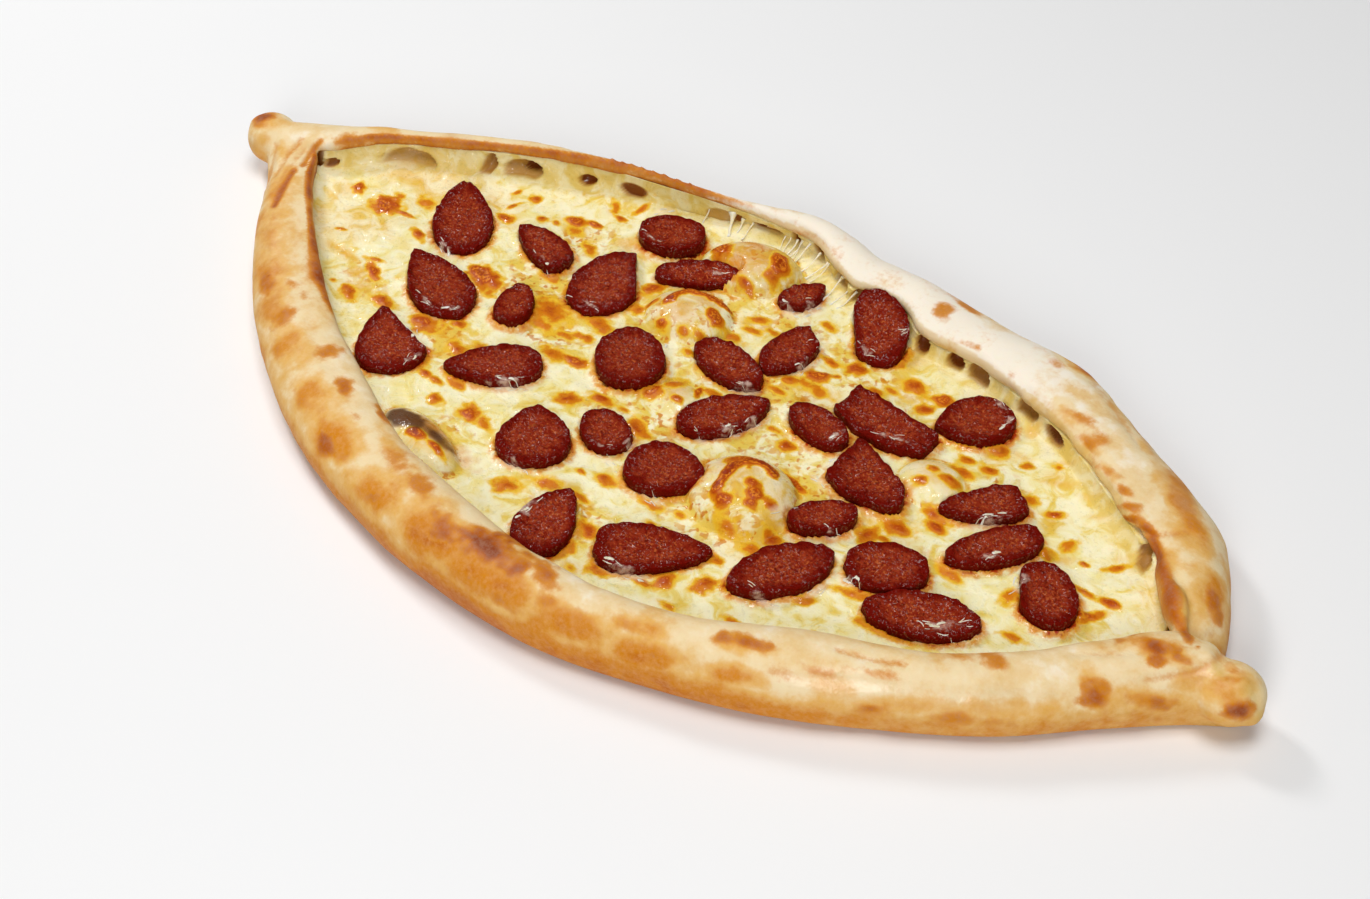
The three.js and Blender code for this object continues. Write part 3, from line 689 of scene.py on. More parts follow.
n.set(skin["Specular IOR Level"], n.between(n.number("shining"), 0.0, 1.0, 0.12, 0.8))
n.set(skin["Roughness"], n.between(n.number("shining"), 0.0, 1.0, 0.52, 0.30))
n.set(skin["Normal"], n.group("relief", Fine=n.noise(1.1, 4, 0.7), Fine_Depth_mm=0.08,
                              Coarse=n.noise(4.2, 3, 0.6), Coarse_Depth_mm=0.24))

dough.data.materials.clear()
dough.data.materials.append(crust)
dough.data.shade_smooth()
dough.vertex_groups.clear()
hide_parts("dough")
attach(dough, "root")

# ---------------------------------------------------------------------------------------------
# The cheese.
# A molten layer of stretched-curd cheese that fills the bread from rim to rim. It has risen in
# bubbles, browned in spots, let out yellow oil, and clings to the wall under the far lip.

CHEESE_LEVEL = 9.5
CHEESE_ENDS = (-156.5, 162.5)
COLUMNS, ROWS, WALL_ROWS = 430, 178, 22
BUBBLES = [   # place, half sizes, height, turn, how steep its sides are
    ((47, -20), (16, 15), 9, 0, 2.0), ((-13.5, 59.5), (16.5, 11.5), 8.5, 25, 2.0),
    ((-14, 30), (14, 12), 6, 10, 1.8), ((6, -1), (9, 8), 3, 0, 1.2),
    ((84, 19), (10, 9), 4, 0, 1.6), ((-38, -62), (17, 8), 6, -14, 1.8),
]
# Browned spots: x, y, half length, half width, turn, strength
TOASTED = [
    (-139.5, 11, 2.8, 1.9, -60, 0.75), (-126, 10.5, 5, 4, 0, 1.0), (-126, 17, 2, 1.2, 0, 0.3),
    (-118, 11, 3.6, 0.9, 8, 0.6), (-117.5, 20, 3.6, 2, -25, 0.4), (-106.5, 6, 3.4, 1.6, -25, 0.55),
    (-91, 44.5, 2, 1.8, 0, 0.5), (-98, 43, 1.6, 0.8, 80, 0.45), (-94, 36.5, 2.4, 1, 85, 0.5),
    (-81.5, 37.5, 1.7, 1.5, 0, 0.55), (-77, 39, 1.2, 1, 0, 0.4), (-73, 43.5, 4.2, 2.2, 25, 0.75),
    (-67.5, 46.5, 3.2, 1.4, 5, 0.8), (-70, 40, 2.6, 2, 0, 0.45), (-60, 36, 3.2, 1.8, -35, 0.5),
    (-91, 30, 2.8, 2.2, 0, 0.62), (-67.5, 57, 3.2, 1.4, -40, 0.42), (-63, 54, 2.4, 1.3, 0, 0.6),
    (-60.5, 62, 3.4, 1, 80, 0.4), (-61, 18.5, 4.6, 2.4, -25, 0.6), (-76, 4, 6.8, 3.6, -15, 0.95),
    (-105.5, -15.5, 4.2, 1.7, -30, 0.6), (-109, -11.5, 2.8, 1, 10, 0.45),
    (-92, -24.5, 4.2, 2.2, -5, 0.6), (-103, -28, 3.6, 2, -35, 0.52), (-111, -27, 1.2, 1, 0, 0.4),
    (-74, -23.5, 4.4, 3.7, 0, 0.8), (-58.5, -25.5, 3.4, 2.6, 0, 0.65), (-66, -17, 2.2, 1.8, 0, 0.6),
    (-63, -36.5, 2.8, 2, 0, 0.55), (-58, -39.8, 2.2, 1.4, 0, 0.55), (-128.5, -7.5, 2, 0.9, 15, 0.5),
    (-54, -20, 2.6, 2, 0, 0.45), (-53, -40, 2.2, 1.3, 0, 0.55), (-47.5, -45.5, 2.4, 2, 0, 0.65),
    (-36, -43, 4.4, 2.8, 0, 0.65), (-29, -44.5, 3, 1.2, -10, 0.4), (-49, -36.5, 3.8, 1.6, -10, 0.6),
    (-35, -9, 4.2, 2, 0, 0.45), (-27, -7, 3.8, 2.2, 10, 0.75), (-18, -21, 3.8, 2.6, 30, 0.5),
    (-10, -14.5, 3.8, 1.8, -5, 0.62), (-0.5, -3.2, 3.4, 2.6, 0, 0.85), (-2, -14, 2.6, 1, 0, 0.45),
    (6.5, -17.5, 4, 2.4, -20, 0.68), (5.5, -41, 2, 1, 0, 0.5), (13, -39, 3.8, 1.8, 0, 0.52),
    (12, -49, 2.4, 1.3, 0, 0.42), (2, -50.5, 5.2, 1.8, 15, 0.38), (-7, -58.5, 4, 2.4, 20, 0.58),
    (22.5, -57, 3.4, 2.6, 0, 0.5), (22.5, -66, 3, 1.8, 80, 0.5), (34, -65, 3.4, 3, 60, 0.58),
    (28, -70, 1.6, 1, 0, 0.35), (34, -44, 2.2, 1, 0, 0.35), (38, -36, 2, 1.2, 0, 0.4),
    (29, -38, 4, 1.3, 0, 0.38), (-33, 3, 2.6, 1.5, 0, 0.5), (-38, 0, 3, 1.4, 0, 0.4),
    (-52, 2, 3, 2.6, 0, 0.5), (-47, -1, 5, 1.8, 0, 0.38), (-51, -3, 1, 1, 0, 0.7),
    (-31.5, 34, 4, 2.6, 80, 0.6), (-26, 27, 2, 1.5, 80, 0.62), (-16.5, 20.3, 2.2, 1.8, 0, 0.7),
    (-8.9, 21.6, 2.0, 1.3, 0, 0.5), (-30, 23, 3.4, 2.2, 0, 0.6), (-5.3, 32, 3.4, 2.3, -20, 0.98),
    (-4.7, 24.1, 2, 1.4, 0, 0.55), (-23, 56.5, 4.8, 2.8, -60, 0.85), (-4.2, 62.4, 4.4, 2.6, -45, 1.0),
    (-7.9, 50.7, 3.2, 1.2, 0, 0.6), (-2.8, 57.2, 2.4, 2, 0, 0.45), (3, 43, 3, 1.8, 20, 0.5),
    (5, 38, 2.6, 1.4, 0, 0.4), (2, 31.5, 3.2, 2, 0, 0.42), (10, 41, 2, 1.2, 0, 0.35),
    (22, 54, 2.2, 1.3, 0, 0.42), (31, 42, 2.6, 1.4, 0, 0.5), (39.5, 44, 3, 2.8, 0, 0.62),
    (32.5, 34, 3.4, 2.4, 0, 0.85), (37, 37.5, 1.2, 1, 0, 0.4), (27.5, 27, 2.4, 2, 0, 0.65),
    (35, 29, 5, 1.8, 0, 0.4), (28, 21, 3.2, 1.2, 0, 0.45), (34, 54, 3.4, 2, 0, 0.55),
    (46, 55, 4, 3, 70, 0.62), (-48, 6, 6.5, 4, -10, 0.5), (-32, 3.5, 2, 1.5, 0, 0.5),
    (-34, 11, 5, 2.8, -15, 0.45), (3, 4, 3.6, 2.2, 80, 0.45), (13, 8, 3.2, 1.4, 0, 0.4),
    (-4, 17.5, 1.7, 1.1, 0, 0.42), (44, 4.8, 2.6, 1.9, 0, 0.6), (36, 8, 2, 1, 0, 0.38),
    (64, -27, 3.2, 2, 0, 0.55), (61, -33, 3.2, 2.4, 0, 0.42), (52, -33, 3, 1.4, 0, 0.4),
    (56, -43, 2.2, 1.8, 0, 0.42), (60, -52, 3.4, 2.8, 60, 0.68), (64.5, -49.5, 1.7, 1.4, 0, 0.55),
    (74, -57, 3.2, 1.3, 5, 0.45), (50.5, -58, 3.2, 2.6, 70, 0.58), (46, -61.5, 2.8, 1.1, 0, 0.5),
    (83, -39, 2.8, 1.4, 45, 0.45), (92.5, -47, 1.2, 1, 0, 0.35), (57, -63.5, 2, 1, 0, 0.3),
    (86, -1, 4.4, 3, 0, 0.5), (82, -8, 3.2, 2.4, 80, 0.58), (86, -7, 2, 1, 0, 0.42),
    (92, -29, 5.2, 1.4, 20, 0.5), (94.5, 6, 2.8, 2, 0, 0.55), (93, 9.5, 4.2, 1.8, -10, 0.65),
    (107, -6.5, 3.6, 1.5, 0, 0.52), (105, -34, 6, 2, 12, 0.5), (133, -14, 3, 1.2, 15, 0.35),
    (143, 3.5, 6, 1.7, 46, 0.8), (125, -3, 3, 2, 80, 0.4), (57.5, 49, 3.8, 2.4, 0, 0.6),
    (67, 49, 3.2, 2.4, 0, 0.8), (65, 42.5, 2.5, 2.3, 0, 0.6), (53, 43, 2.6, 1, 0, 0.35),
    (49, 39.5, 3, 1.4, 0, 0.4), (91, 42, 2.9, 2.4, 0, 0.55), (101, 42.3, 1.7, 1.4, 0, 0.48),
    (108.5, 46, 1.5, 1, 0, 0.3), (82.5, 37.5, 2.4, 1.4, 20, 0.42), (86.5, 33, 2.2, 1.5, 0, 0.5),
    (93.5, 33.5, 2.6, 1.8, 0, 0.58), (88, 27.5, 4.4, 1.7, 0, 0.5), (88.7, 20.8, 3, 1.6, 0, 0.62),
    (109, 31, 2.2, 1.8, 0, 0.48), (117, 31, 2.7, 1.4, 40, 0.62), (126.5, 23, 2.6, 1.8, 50, 0.48),
    (141, 24, 3.6, 1.2, 50, 0.5), (133.5, 20, 1.4, 0.8, 0, 0.55), (139, 11, 3, 1, 0, 0.5),
    (146.5, 12, 2.7, 1.2, 0, 0.55), (123, 16.5, 2.8, 2, 0, 0.48), (-37, -63.3, 3.4, 1.8, 0, 1.15),
    (-29, -63.3, 3.4, 1.2, -10, 0.85), (55.4, -6.2, 4.4, 1.2, -20, 0.75),
    (40.8, -13.5, 3.2, 2.2, 65, 0.75), (46.8, -29, 3, 2.6, 0, 0.95), (50.4, -19.8, 2.4, 2.1, 0, 0.9),
    (52.7, -22.4, 2.7, 2.3, 0, 1.0), (54.6, -25.2, 2.5, 2.1, 0, 0.95), (57.8, -21.8, 2.2, 1.8, 0, 0.6),
    (10.2, 5.4, 3.4, 1.1, 115, 0.8), (8.7, -2.2, 1.8, 1.2, 0, 0.6), (83.2, 21.3, 1.8, 1.3, 0, 0.55),
    (82.3, 15.3, 2, 1.4, 0, 0.55), (88.4, 28, 2, 1.4, 0, 0.5),
]
# Thin arcs of toast round the tops of two bubbles
ARCS = [
    [(-19.8, 28.9), (-20, 33), (-19, 35.7), (-12.3, 38.6), (-6, 39)],
    [(43.6, -27.5), (42.6, -22.5), (42.2, -18), (43.8, -12.6), (46.8, -11), (52, -12.2)],
]
# Broad tan on the tops of the bubbles, and the black of the one that burnt at the near rim
TANNED = [
    (-15, 64.5, 9, 3.4, -12, 1.0), (-21, 58, 5, 5, 0, 0.5), (-12, 59, 13, 9, 20, 0.65),
    (-15, 37, 9, 6, 0, 0.7), (-16, 28, 12, 9, 0, 0.55), (84, 21, 9, 8, 0, 0.4),
    (46, -18, 13, 12, 0, 0.4), (40, -16, 6, 9, 0, 0.55), (58, -18, 5, 9, 20, 0.35),
    (-38, -59.5, 16, 5, 0, 1.2), (4, 1, 7, 5, 0, 0.5),
]
CHARRED = [(-45, -60, 10, 4.4, 5, 1.25), (-33, -59.6, 9, 2.8, -3, 0.9)]
# Pools where yellow oil has come out
OILY = [
    (-118, -15, 8, 2.6, 0, 0.8), (-108, -19, 4, 4, 0, 0.8), (-103, -24, 6, 4, -30, 0.6),
    (-51, 45, 5, 3.4, 0, 0.8), (-44, 43, 3, 2, 0, 0.6), (-70, 41, 8, 5, 10, 0.7),
    (-48, 5, 10, 6, 0, 0.7), (35, 29, 8, 5, 0, 0.6), (94, 56, 2.6, 3.4, 0, 0.8), (58, 46, 9, 5, 0, 0.6),
    (75, 24.5, 3, 1.6, 0, 0.9), (86, -2, 8, 6, 0, 0.6), (2, -50, 8, 3, 15, 0.6),
    (110, 42, 4, 3, 30, 0.4), (-60, -24, 9, 8, 0, 0.5), (60, -33, 8, 6, 0, 0.5),
    (28, -70, 3, 2, 0, 0.7), (133, -14, 4, 3, 30, 0.5), (-90, 30, 6, 4, 0, 0.4),
    (118, 28, 7, 4, 30, 0.4), (3, 40, 6, 5, 0, 0.5), (50, 58, 4, 6, 30, 0.6), (92, 40, 6, 6, 0, 0.5),
    (155, 3, 4, 3, 0, 0.3), (-128, -2, 18, 15, 20, 0.45), (111, 41, 5, 1.5, 25, 0.6),
    (121.6, 42, 4, 1.4, 20, 0.5), (96.7, 44.6, 4, 1.5, 0, 0.5), (112, 49.5, 5, 1.3, 20, 0.45),
    (127.8, 37, 4, 1.4, 25, 0.5), (127.5, 17, 4, 1.6, 40, 0.5), (141, 28.5, 4, 1.5, 45, 0.5),
    (54, -31, 7, 3, 20, 0.7), (61, -25, 4, 3, 0, 0.6), (-30, -65, 8, 3, 0, 0.7),
    (-128, 27, 14, 6, 10, 0.55), (-120, 30, 26, 11, 8, 0.5), (-108, 34, 12, 4, 10, 0.5),
    (-142, 4, 5, 8, 0, 0.5), (-118, 2, 9, 3, -30, 0.5), (-88, 8, 6, 4, 0, 0.5), (78, -2, 6, 4, 0, 0.5),
]
# Where the cheese browned most, in the middle between the slices
WARM = [
    (-52, 8, 26, 14, -15, 1.0), (-62, 40, 22, 9, 10, 0.7), (-20, 20, 20, 14, 0, 0.8),
    (-5, -8, 22, 12, -10, 0.9), (30, 20, 26, 16, -20, 0.9), (50, 40, 24, 12, 0, 0.8),
    (60, -5, 26, 14, 0, 0.8), (45, -30, 24, 12, 10, 0.8), (-60, -25, 24, 12, -30, 0.7),
    (-30, -48, 18, 8, -15, 0.6), (20, -55, 22, 8, 0, 0.5), (95, -5, 16, 10, 20, 0.7),
    (-95, 30, 16, 12, 0, 0.4), (-105, -20, 14, 9, -30, 0.5), (120, 25, 16, 8, 40, 0.4),
    (5, 45, 16, 12, 0, 0.8), (-10, 62, 14, 10, 0, 0.6), (90, 30, 14, 12, 0, 0.7),
]
# Holes in the coat on the far wall: x, height, half width, half height, depth, and how dark the shade
# painted inside is
HOLES = [
    (-154.8, 11.5, 2.0, 1.8, 2.5, 0.7), (-136, 10.6, 8.5, 4.6, 4.0, 0.35),
    (-112.5, 12.6, 2.3, 3.6, 3.0, 0.6), (-102, 12.2, 6.2, 3.6, 3.2, 0.5),
    (-101, 13.2, 3.2, 2.2, 4.5, 1.0), (-82.3, 12.4, 3.0, 1.9, 3.2, 0.95),
    (-66.6, 12.6, 5.2, 2.6, 3.5, 0.75), (-36, 12.0, 6.5, 3.0, 3.0, 0.4),
    (-31, 13.2, 1.8, 1.8, 3.0, 0.75), (-20.6, 12.6, 5.4, 1.8, 3.0, 0.75),
    (-10.6, 12.9, 1.8, 2.7, 4.0, 1.0), (-0.6, 13.0, 3.2, 2.9, 4.5, 1.0),
    (11.4, 12.4, 2.2, 4.2, 4.0, 0.45), (15.4, 12.0, 2.4, 3.4, 4.0, 0.4),
    (21.6, 12.0, 3.2, 3.0, 4.0, 0.6), (49.4, 12.4, 3.1, 2.8, 4.0, 0.85),
    (61.7, 12.6, 3.4, 2.6, 4.5, 0.8), (70.3, 12.5, 4.2, 3.5, 4.5, 0.62),
    (89.6, 12.2, 4.6, 3.9, 4.5, 0.6), (101.2, 12.0, 4.2, 2.6, 4.0, 0.75),
    (145.6, 12.3, 3.2, 2.4, 3.5, 0.6), (38, 12.5, 2.5, 2.0, 2.0, 0.3),
]
# How far the coat's foot stands into the filling from the lip above it
foot_out = through([(-157, 2), (-140, 4), (-120, 5), (-100, 4.2), (-80, 3.6), (-60, 2.2), (-42, -1.2),
                    (-15, -2), (5, -1.4), (20, 0.8), (35, 2.8), (60, 2), (100, 1.8),
                    (112, 2.6), (130, 3.4), (145, 5), (158, 5.2), (163, 5)])
FAR_CLIMB, FAR_CLIMB_WIDE = 1.2, 6.0      # the layer climbs towards the far rim
NEAR_CLIMB, NEAR_CLIMB_WIDE = 2.4, 1.6    # and clings higher to the near one
BUBBLE_SINK = 0.4                         # a bubble starts this far below the even layer
BUBBLE_MELT = 0.15                        # share of the waves that still shows on its skin


def even_level(x, y):
    """Level of the bare layer with its slow waves."""
    return CHEESE_LEVEL + 0.5 * np.sin(x / 9 + 1) * np.cos(y / 8) + 0.35 * np.sin(x / 5 - y / 6)


def cheese_level(x, y):
    """Level of the layer with its lumps, its bubbles and the climb to both rims."""
    flat = np.stack([x, y, 0 * x], axis=-1).reshape(-1, 3)
    lumps = uneven(flat, (0.42, 9, 11), (0.30, 4.2, 12), (0.14, 2.1, 13))
    level = even_level(x, y) + lumps.reshape(x.shape)
    to_near, to_far = y - near["lip"](x), far["lip"](x) - y
    level += FAR_CLIMB * np.exp(-np.clip(to_far, 0, None) / FAR_CLIMB_WIDE)
    level += NEAR_CLIMB * np.exp(-np.clip(to_near + 0.5, 0, None) / NEAR_CLIMB_WIDE)
    for (cx, cy), (long, wide), high, turn, steep in BUBBLES:
        u, v = turned(-turn, x - cx, y - cy)
        dome = high * np.clip(1 - np.hypot(u / long, v / wide) ** 2, 0, 1) ** (1 / steep)
        risen = np.maximum(level, CHEESE_LEVEL - BUBBLE_SINK + dome)
        level = risen * (1 - BUBBLE_MELT) + BUBBLE_MELT * (level + dome)
    return level


def field(values, size, seed):
    """Rough relief over a grid given as its x, y and z."""
    return rough(np.stack(values, axis=-1).reshape(-1, 3), size, seed).reshape(values[0].shape)


# The layer runs from under the near lip to the foot of the coat, and the coat goes on from there up
# the far wall. Both are one grid, with a column for each place along the bread.
UNDER_NEAR_LIP, PAST_FAR_LIP = 1.2, 0.15
COAT_TOP = 0.9   # the coat ends this far below the far lip, as a share of the lip's thickness
columns = np.linspace(*CHEESE_ENDS, COLUMNS)
lip_high = far["tall"](columns) - far["drop"](columns) - far["thick"](columns) * COAT_TOP
low_edge = near["lip"](columns) - UNDER_NEAR_LIP
high_edge = np.maximum(far["lip"](columns) - foot_out(columns), low_edge + 1.0)
share = np.linspace(0, 1, ROWS) ** 0.97
gx = np.repeat(columns[:, None], ROWS, axis=1)
gy = low_edge[:, None] + (high_edge - low_edge)[:, None] * share
gz = cheese_level(gx, gy)

wall_share = np.linspace(0, 1, WALL_ROWS + 1)[1:]
foot_high = gz[:, -1]
reach = far["lip"](columns) + PAST_FAR_LIP - high_edge
wx = np.repeat(columns[:, None], WALL_ROWS, axis=1)
wy = high_edge[:, None] + reach[:, None] * (1 - (1 - wall_share) ** 1.6)
wz = foot_high[:, None] + (lip_high - foot_high)[:, None] * wall_share ** 1.25
wy = wy - 0.55 * field((wx, wy, wz), 5, 21) * np.sin(math.pi * wall_share)
torn_edge = 0.18 * field((wx, 0 * wx, wz), 3, 22)
# The holes are dented into the coat, and the shade inside them is painted on as well, darkest in their
# middles
painted_hole_shade = np.zeros(wx.shape)
for hx, hz, wide, high, deep, shade_strength in HOLES:
    off = np.hypot((wx - hx) / wide, (wz - hz) / high) + torn_edge
    wy = wy + deep * np.clip(1 - off ** 3, 0, 1) ** 0.7
    painted_hole_shade = np.maximum(painted_hole_shade, shade_strength * ease(1.05, 0.75, off))

gx, gy, gz = (np.concatenate(pair, axis=1) for pair in ((gx, wx), (gy, wy), (gz, wz)))
painted_hole_shade = np.concatenate([np.zeros((COLUMNS, ROWS)), painted_hole_shade], axis=1)
coat = np.concatenate([ease(5, 0, high_edge[:, None] - gy[:, :ROWS]) * 0.6,
                       np.full((COLUMNS, WALL_ROWS), 1.0)], axis=1)

# The slices press into the cheese, so their outlines are needed here: place, length, width on
# each side of the long axis, its turn, how pointed the two ends are, tilts along and across, how far
# it is raised, and the straight cuts: which way each one faces and how far out it lies.
SLICES = [
    ((-100.5, 20.5), 32.5, (9.5, 10), -47, (0.85, 0.55), (-7, 0), 0, []),
    ((-84, -9), 34, (10.5, 9), -22, (0.95, 0.6), (-3, -2), 0, []),
    ((-76, -36.8), 27, (10.5, 10.3), -38, (0.9, 0.5), (-4, 0), 0, [(115, 6.5)]),
    ((-70.5, 25), 24.5, (7, 5.5), -15, (0.65, 0.35), (0, 3), 0, []),
    ((-57.5, -0.5), 18, (5.5, 6), -65, (0.6, 0.4), (0, 0), 0, []),
    ((-42, 55.5), 21.5, (8, 8.5), 25, (0.4, 0.4), (0, 0), 1, []),
    ((-24, 46.5), 27.5, (5, 4.5), 35, (0.55, 0.5), (0, 16), 0, []),
    ((-43, 25.5), 29.5, (10.5, 11), -85, (0.6, 0.5), (-5, 0), 0, [(125, 8.5)]),
    ((-14.5, 3), 25, (10.5, 10.5), -42, (0.55, 0.45), (0, 0), 1, []),
    ((7, 59.5), 16, (4, 5.5), 64, (0.5, 0.7), (0, 0), 0, []),
    ((9.5, 20.5), 25.5, (6.5, 7), -10, (0.45, 0.45), (0, 3), 0.4, []),
    ((-44, -25), 29.5, (7.5, 8), 42, (0.8, 0.45), (0, 3), 0, []),
    ((-13.5, -39), 24, (10, 11.5), -50, (0.8, 0.5), (0, 0), 0, []),
    ((0.5, -24), 18, (6, 7.5), -18, (0.5, 0.5), (0, 2), 0, []),
    ((13, -62), 24, (7.5, 9), -77, (0.75, 0.45), (-6, 0), 0, [(115, 7)]),
    ((35, 59.8), 27.5, (9, 8), -40, (0.6, 0.5), (-12, 20), 2, [(260, 6.5)]),
    ((20, 37.5), 26, (6.5, 6.5), 86, (0.55, 0.65), (0, 3), 0, [(330, 8.5)]),
    ((59.5, 30.5), 36, (10, 9), -4, (0.5, 0.5), (0, 6), 0, [(90, 5), (180, 14), (0, 17)]),
    ((80, 46), 23.5, (9.5, 9), 50, (0.75, 0.5), (0, 0), 0, []),
    ((46.5, 15.5), 21.5, (6, 6), -11, (0.5, 0.45), (0, 0), 0, []),
    ((70.5, 9.5), 29.5, (8, 12), -25, (0.55, 0.75), (0, 0), 0.4, [(93, 5), (209, 11)]),
    ((22, 2.5), 28.5, (7, 7.5), 61, (0.5, 0.65), (0, 3), 0, [(70, 6.5)]),
    ((24.5, -26.5), 23, (9, 9.5), 20, (0.45, 0.6), (0, 2), 0.4, []),
    ((69.5, -13), 19.5, (5.5, 5.5), 48, (0.45, 0.45), (0, 0), 0.8, []),
    ((41, -51), 32, (8, 8.5), 34, (0.35, 0.75), (0, 3), 0, []),
    ((73, -35.5), 31.5, (8, 8), 61, (0.6, 0.6), (0, 2), 0, []),
    ((94.5, -16.8), 22.5, (8.5, 8.3), 28, (0.45, 0.5), (0, 2), 0, []),
    ((101, 20), 26, (6.5, 6), 45, (0.7, 0.4), (0, 3), 0, [(105, 5.5), (15, 11)]),
    ((112, 8), 28, (5.5, 6.5), 57, (0.5, 0.4), (0, 3), 0, []),
    ((132.5, 2.5), 22.5, (8, 8.5), -42, (0.5, 0.5), (0, 0), 0, [(255, 7)]),
    ((111, -24.5), 31, (6.8, 7.5), 29, (0.55, 0.6), (0, 8), 0, []),
]
# Where molten cheese has run over the edge of a slice
SMEARS = [
    (-70, -31, 5.5, 1.6, -30), (-64.5, -39, 4, 1.3, 75), (-35.5, -28, 6.5, 3, 35),
    (12.5, 57, 4, 2.4, 70), (7.5, 51.5, 4, 2, -20), (5, -63.5, 4.5, 3.2, 70), (66, 25.5, 6, 1.3, 15),
    (81, 56.5, 5, 1.8, -10), (88, 51, 4, 1.6, 80), (27.5, -2, 4.5, 2.6, 60), (30.5, 5, 3.5, 1.6, 80),
    (23, -9.5, 2.4, 1.6, 0), (40, -62, 7, 1.6, 15), (118, -24.5, 8.5, 3.2, 42),
    (43.5, 62, 4.5, 1.5, 60), (37, 51.5, 4, 1.4, -20), (-10, 13.5, 3, 1.2, -45), (10, -33, 4, 2, -20),
    (29, -36.5, 4.5, 1.2, 0), (8.5, -25, 3.2, 1, 75), (3, -30.5, 4, 1.1, 5), (125, 2, 3.2, 1.8, 80),
    (20, 15.5, 5, 2.2, 25), (25, 45.5, 3.4, 1.9, 75), (26.5, 34, 3.4, 1.2, 80), (-54, 65, 3.4, 2.2, 40),
    (53.5, 14.5, 4, 1.5, 80), (57.5, 7, 5.5, 1.4, 80), (60, -1.5, 3.4, 1.4, -30),
    (60, -20, 3.4, 1.3, 75), (74.5, -16, 2.4, 1.5, 0), (84, -34, 5, 0.9, 75), (75, -46.5, 5, 1.1, 8),
    (88, -26.5, 5, 1.2, 20), (-71, -13.5, 5, 1.3, 60), (-80, -17.5, 6, 1.3, -20),
    (-95, 6.5, 6, 1.3, -12), (-46, 49, 6, 1.1, -10), (-20, 50, 3.5, 1.5, 35), (113, 3, 4.5, 1.4, 60),
    (105, 15.5, 6, 1.6, 55), (-42, 14.5, 6, 1.0, 0), (-10.5, -51, 4, 1.5, 10), (-66, 20.5, 5, 1.3, -22),
]


def slice_outline(slice_row, count, seed):
    """Outline of a slice in its own plane: two bulging sides that meet at the ends, and ragged."""
    _, long, (wide_first, wide_second), _, (start, end), _, _, cuts = slice_row
    a = 2 * math.pi * (np.arange(count) + 0.5) / count
    t = (1 - np.cos(a)) / 2
    peak = start / (start + end)
    bulge = t ** start * (1 - t) ** end / (peak ** start * (1 - peak) ** end)
    u = long / 2 * (2 * t - 1)
    v = np.where(a < math.pi, wide_first, -wide_second) * bulge
    for facing, reach in cuts:
        out, _ = turned(-facing, u, v)
        inwards = np.where(out > reach, reach / np.maximum(out, 1e-6), 1.0)
        u, v = u * inwards, v * inwards
    grow = 1 + uneven(np.stack([u, v, 0 * u], axis=-1), (0.030, 6, seed), (0.032, 1.8, seed + 40))
    return u * grow, v * grow


def slice_level(x, y):
    """Level of the even cheese that a slice rests on."""
    to_rim = min(y - near["lip"](x), far["lip"](x) - y)
    level = even_level(x, y) + FAR_CLIMB * math.exp(-max(to_rim, 0) / FAR_CLIMB_WIDE)
    for (cx, cy), (long, wide), high, turn, _ in BUBBLES:
        u, v = turned(-turn, x - cx, y - cy)
        off = math.hypot(u / long, v / wide)
        if off < 1:
            level = max(level, CHEESE_LEVEL + high * math.sqrt(1 - off * off))
    return level


def away_from_outline(u, v, outline):
    """Distance of each place from a closed outline, negative inside it."""
    a = np.stack(outline, axis=-1)
    b = np.roll(a, -1, axis=0)
    p = np.stack([u, v], axis=-1)[:, None]
    way = b - a
    t = np.clip(((p - a) * way).sum(-1) / (way ** 2).sum(-1), 0, 1)
    gap = np.linalg.norm(p - a - t[..., None] * way, axis=-1).min(axis=1)
    rise = np.where(way[:, 1] == 0, 1e-9, way[:, 1])
    level_with = (a[:, 1] > p[..., 1]) != (b[:, 1] > p[..., 1])
    crossed = level_with & (p[..., 0] < way[:, 0] * (p[..., 1] - a[:, 1]) / rise + a[:, 0])
    return np.where(crossed.sum(axis=1) % 2 == 1, -gap, gap)


at = np.stack([gx, gy, gz], axis=-1).reshape(-1, 3)
plan = at[:, :2]
on_top = np.tile(np.arange(ROWS + WALL_ROWS) < ROWS, COLUMNS)
ragged = uneven(at, (0.34, 3.2, 31), (0.26, 1.5, 32))
toast = marked(plan, TOASTED, ragged)
arc = np.minimum(*(from_line(plan, line) for line in ARCS)) * (1 + 0.55 * rough(at, 2.5, 35))
toast = np.maximum(toast, 1.1 - (arc / 1.9) ** 2 + ragged * 0.8)
crisp = 0.5 * ease(0.1, 0.7, toast) - 0.2 * ease(0.8, 1.2, toast)
at[:, 2] += on_top * (crisp + 0.7 * ridge(arc, 1.8))
film = marked(plan, [(*smear, 1.0) for smear in SMEARS], uneven(at, (0.5, 2.6, 33), (0.35, 1.1, 34)))

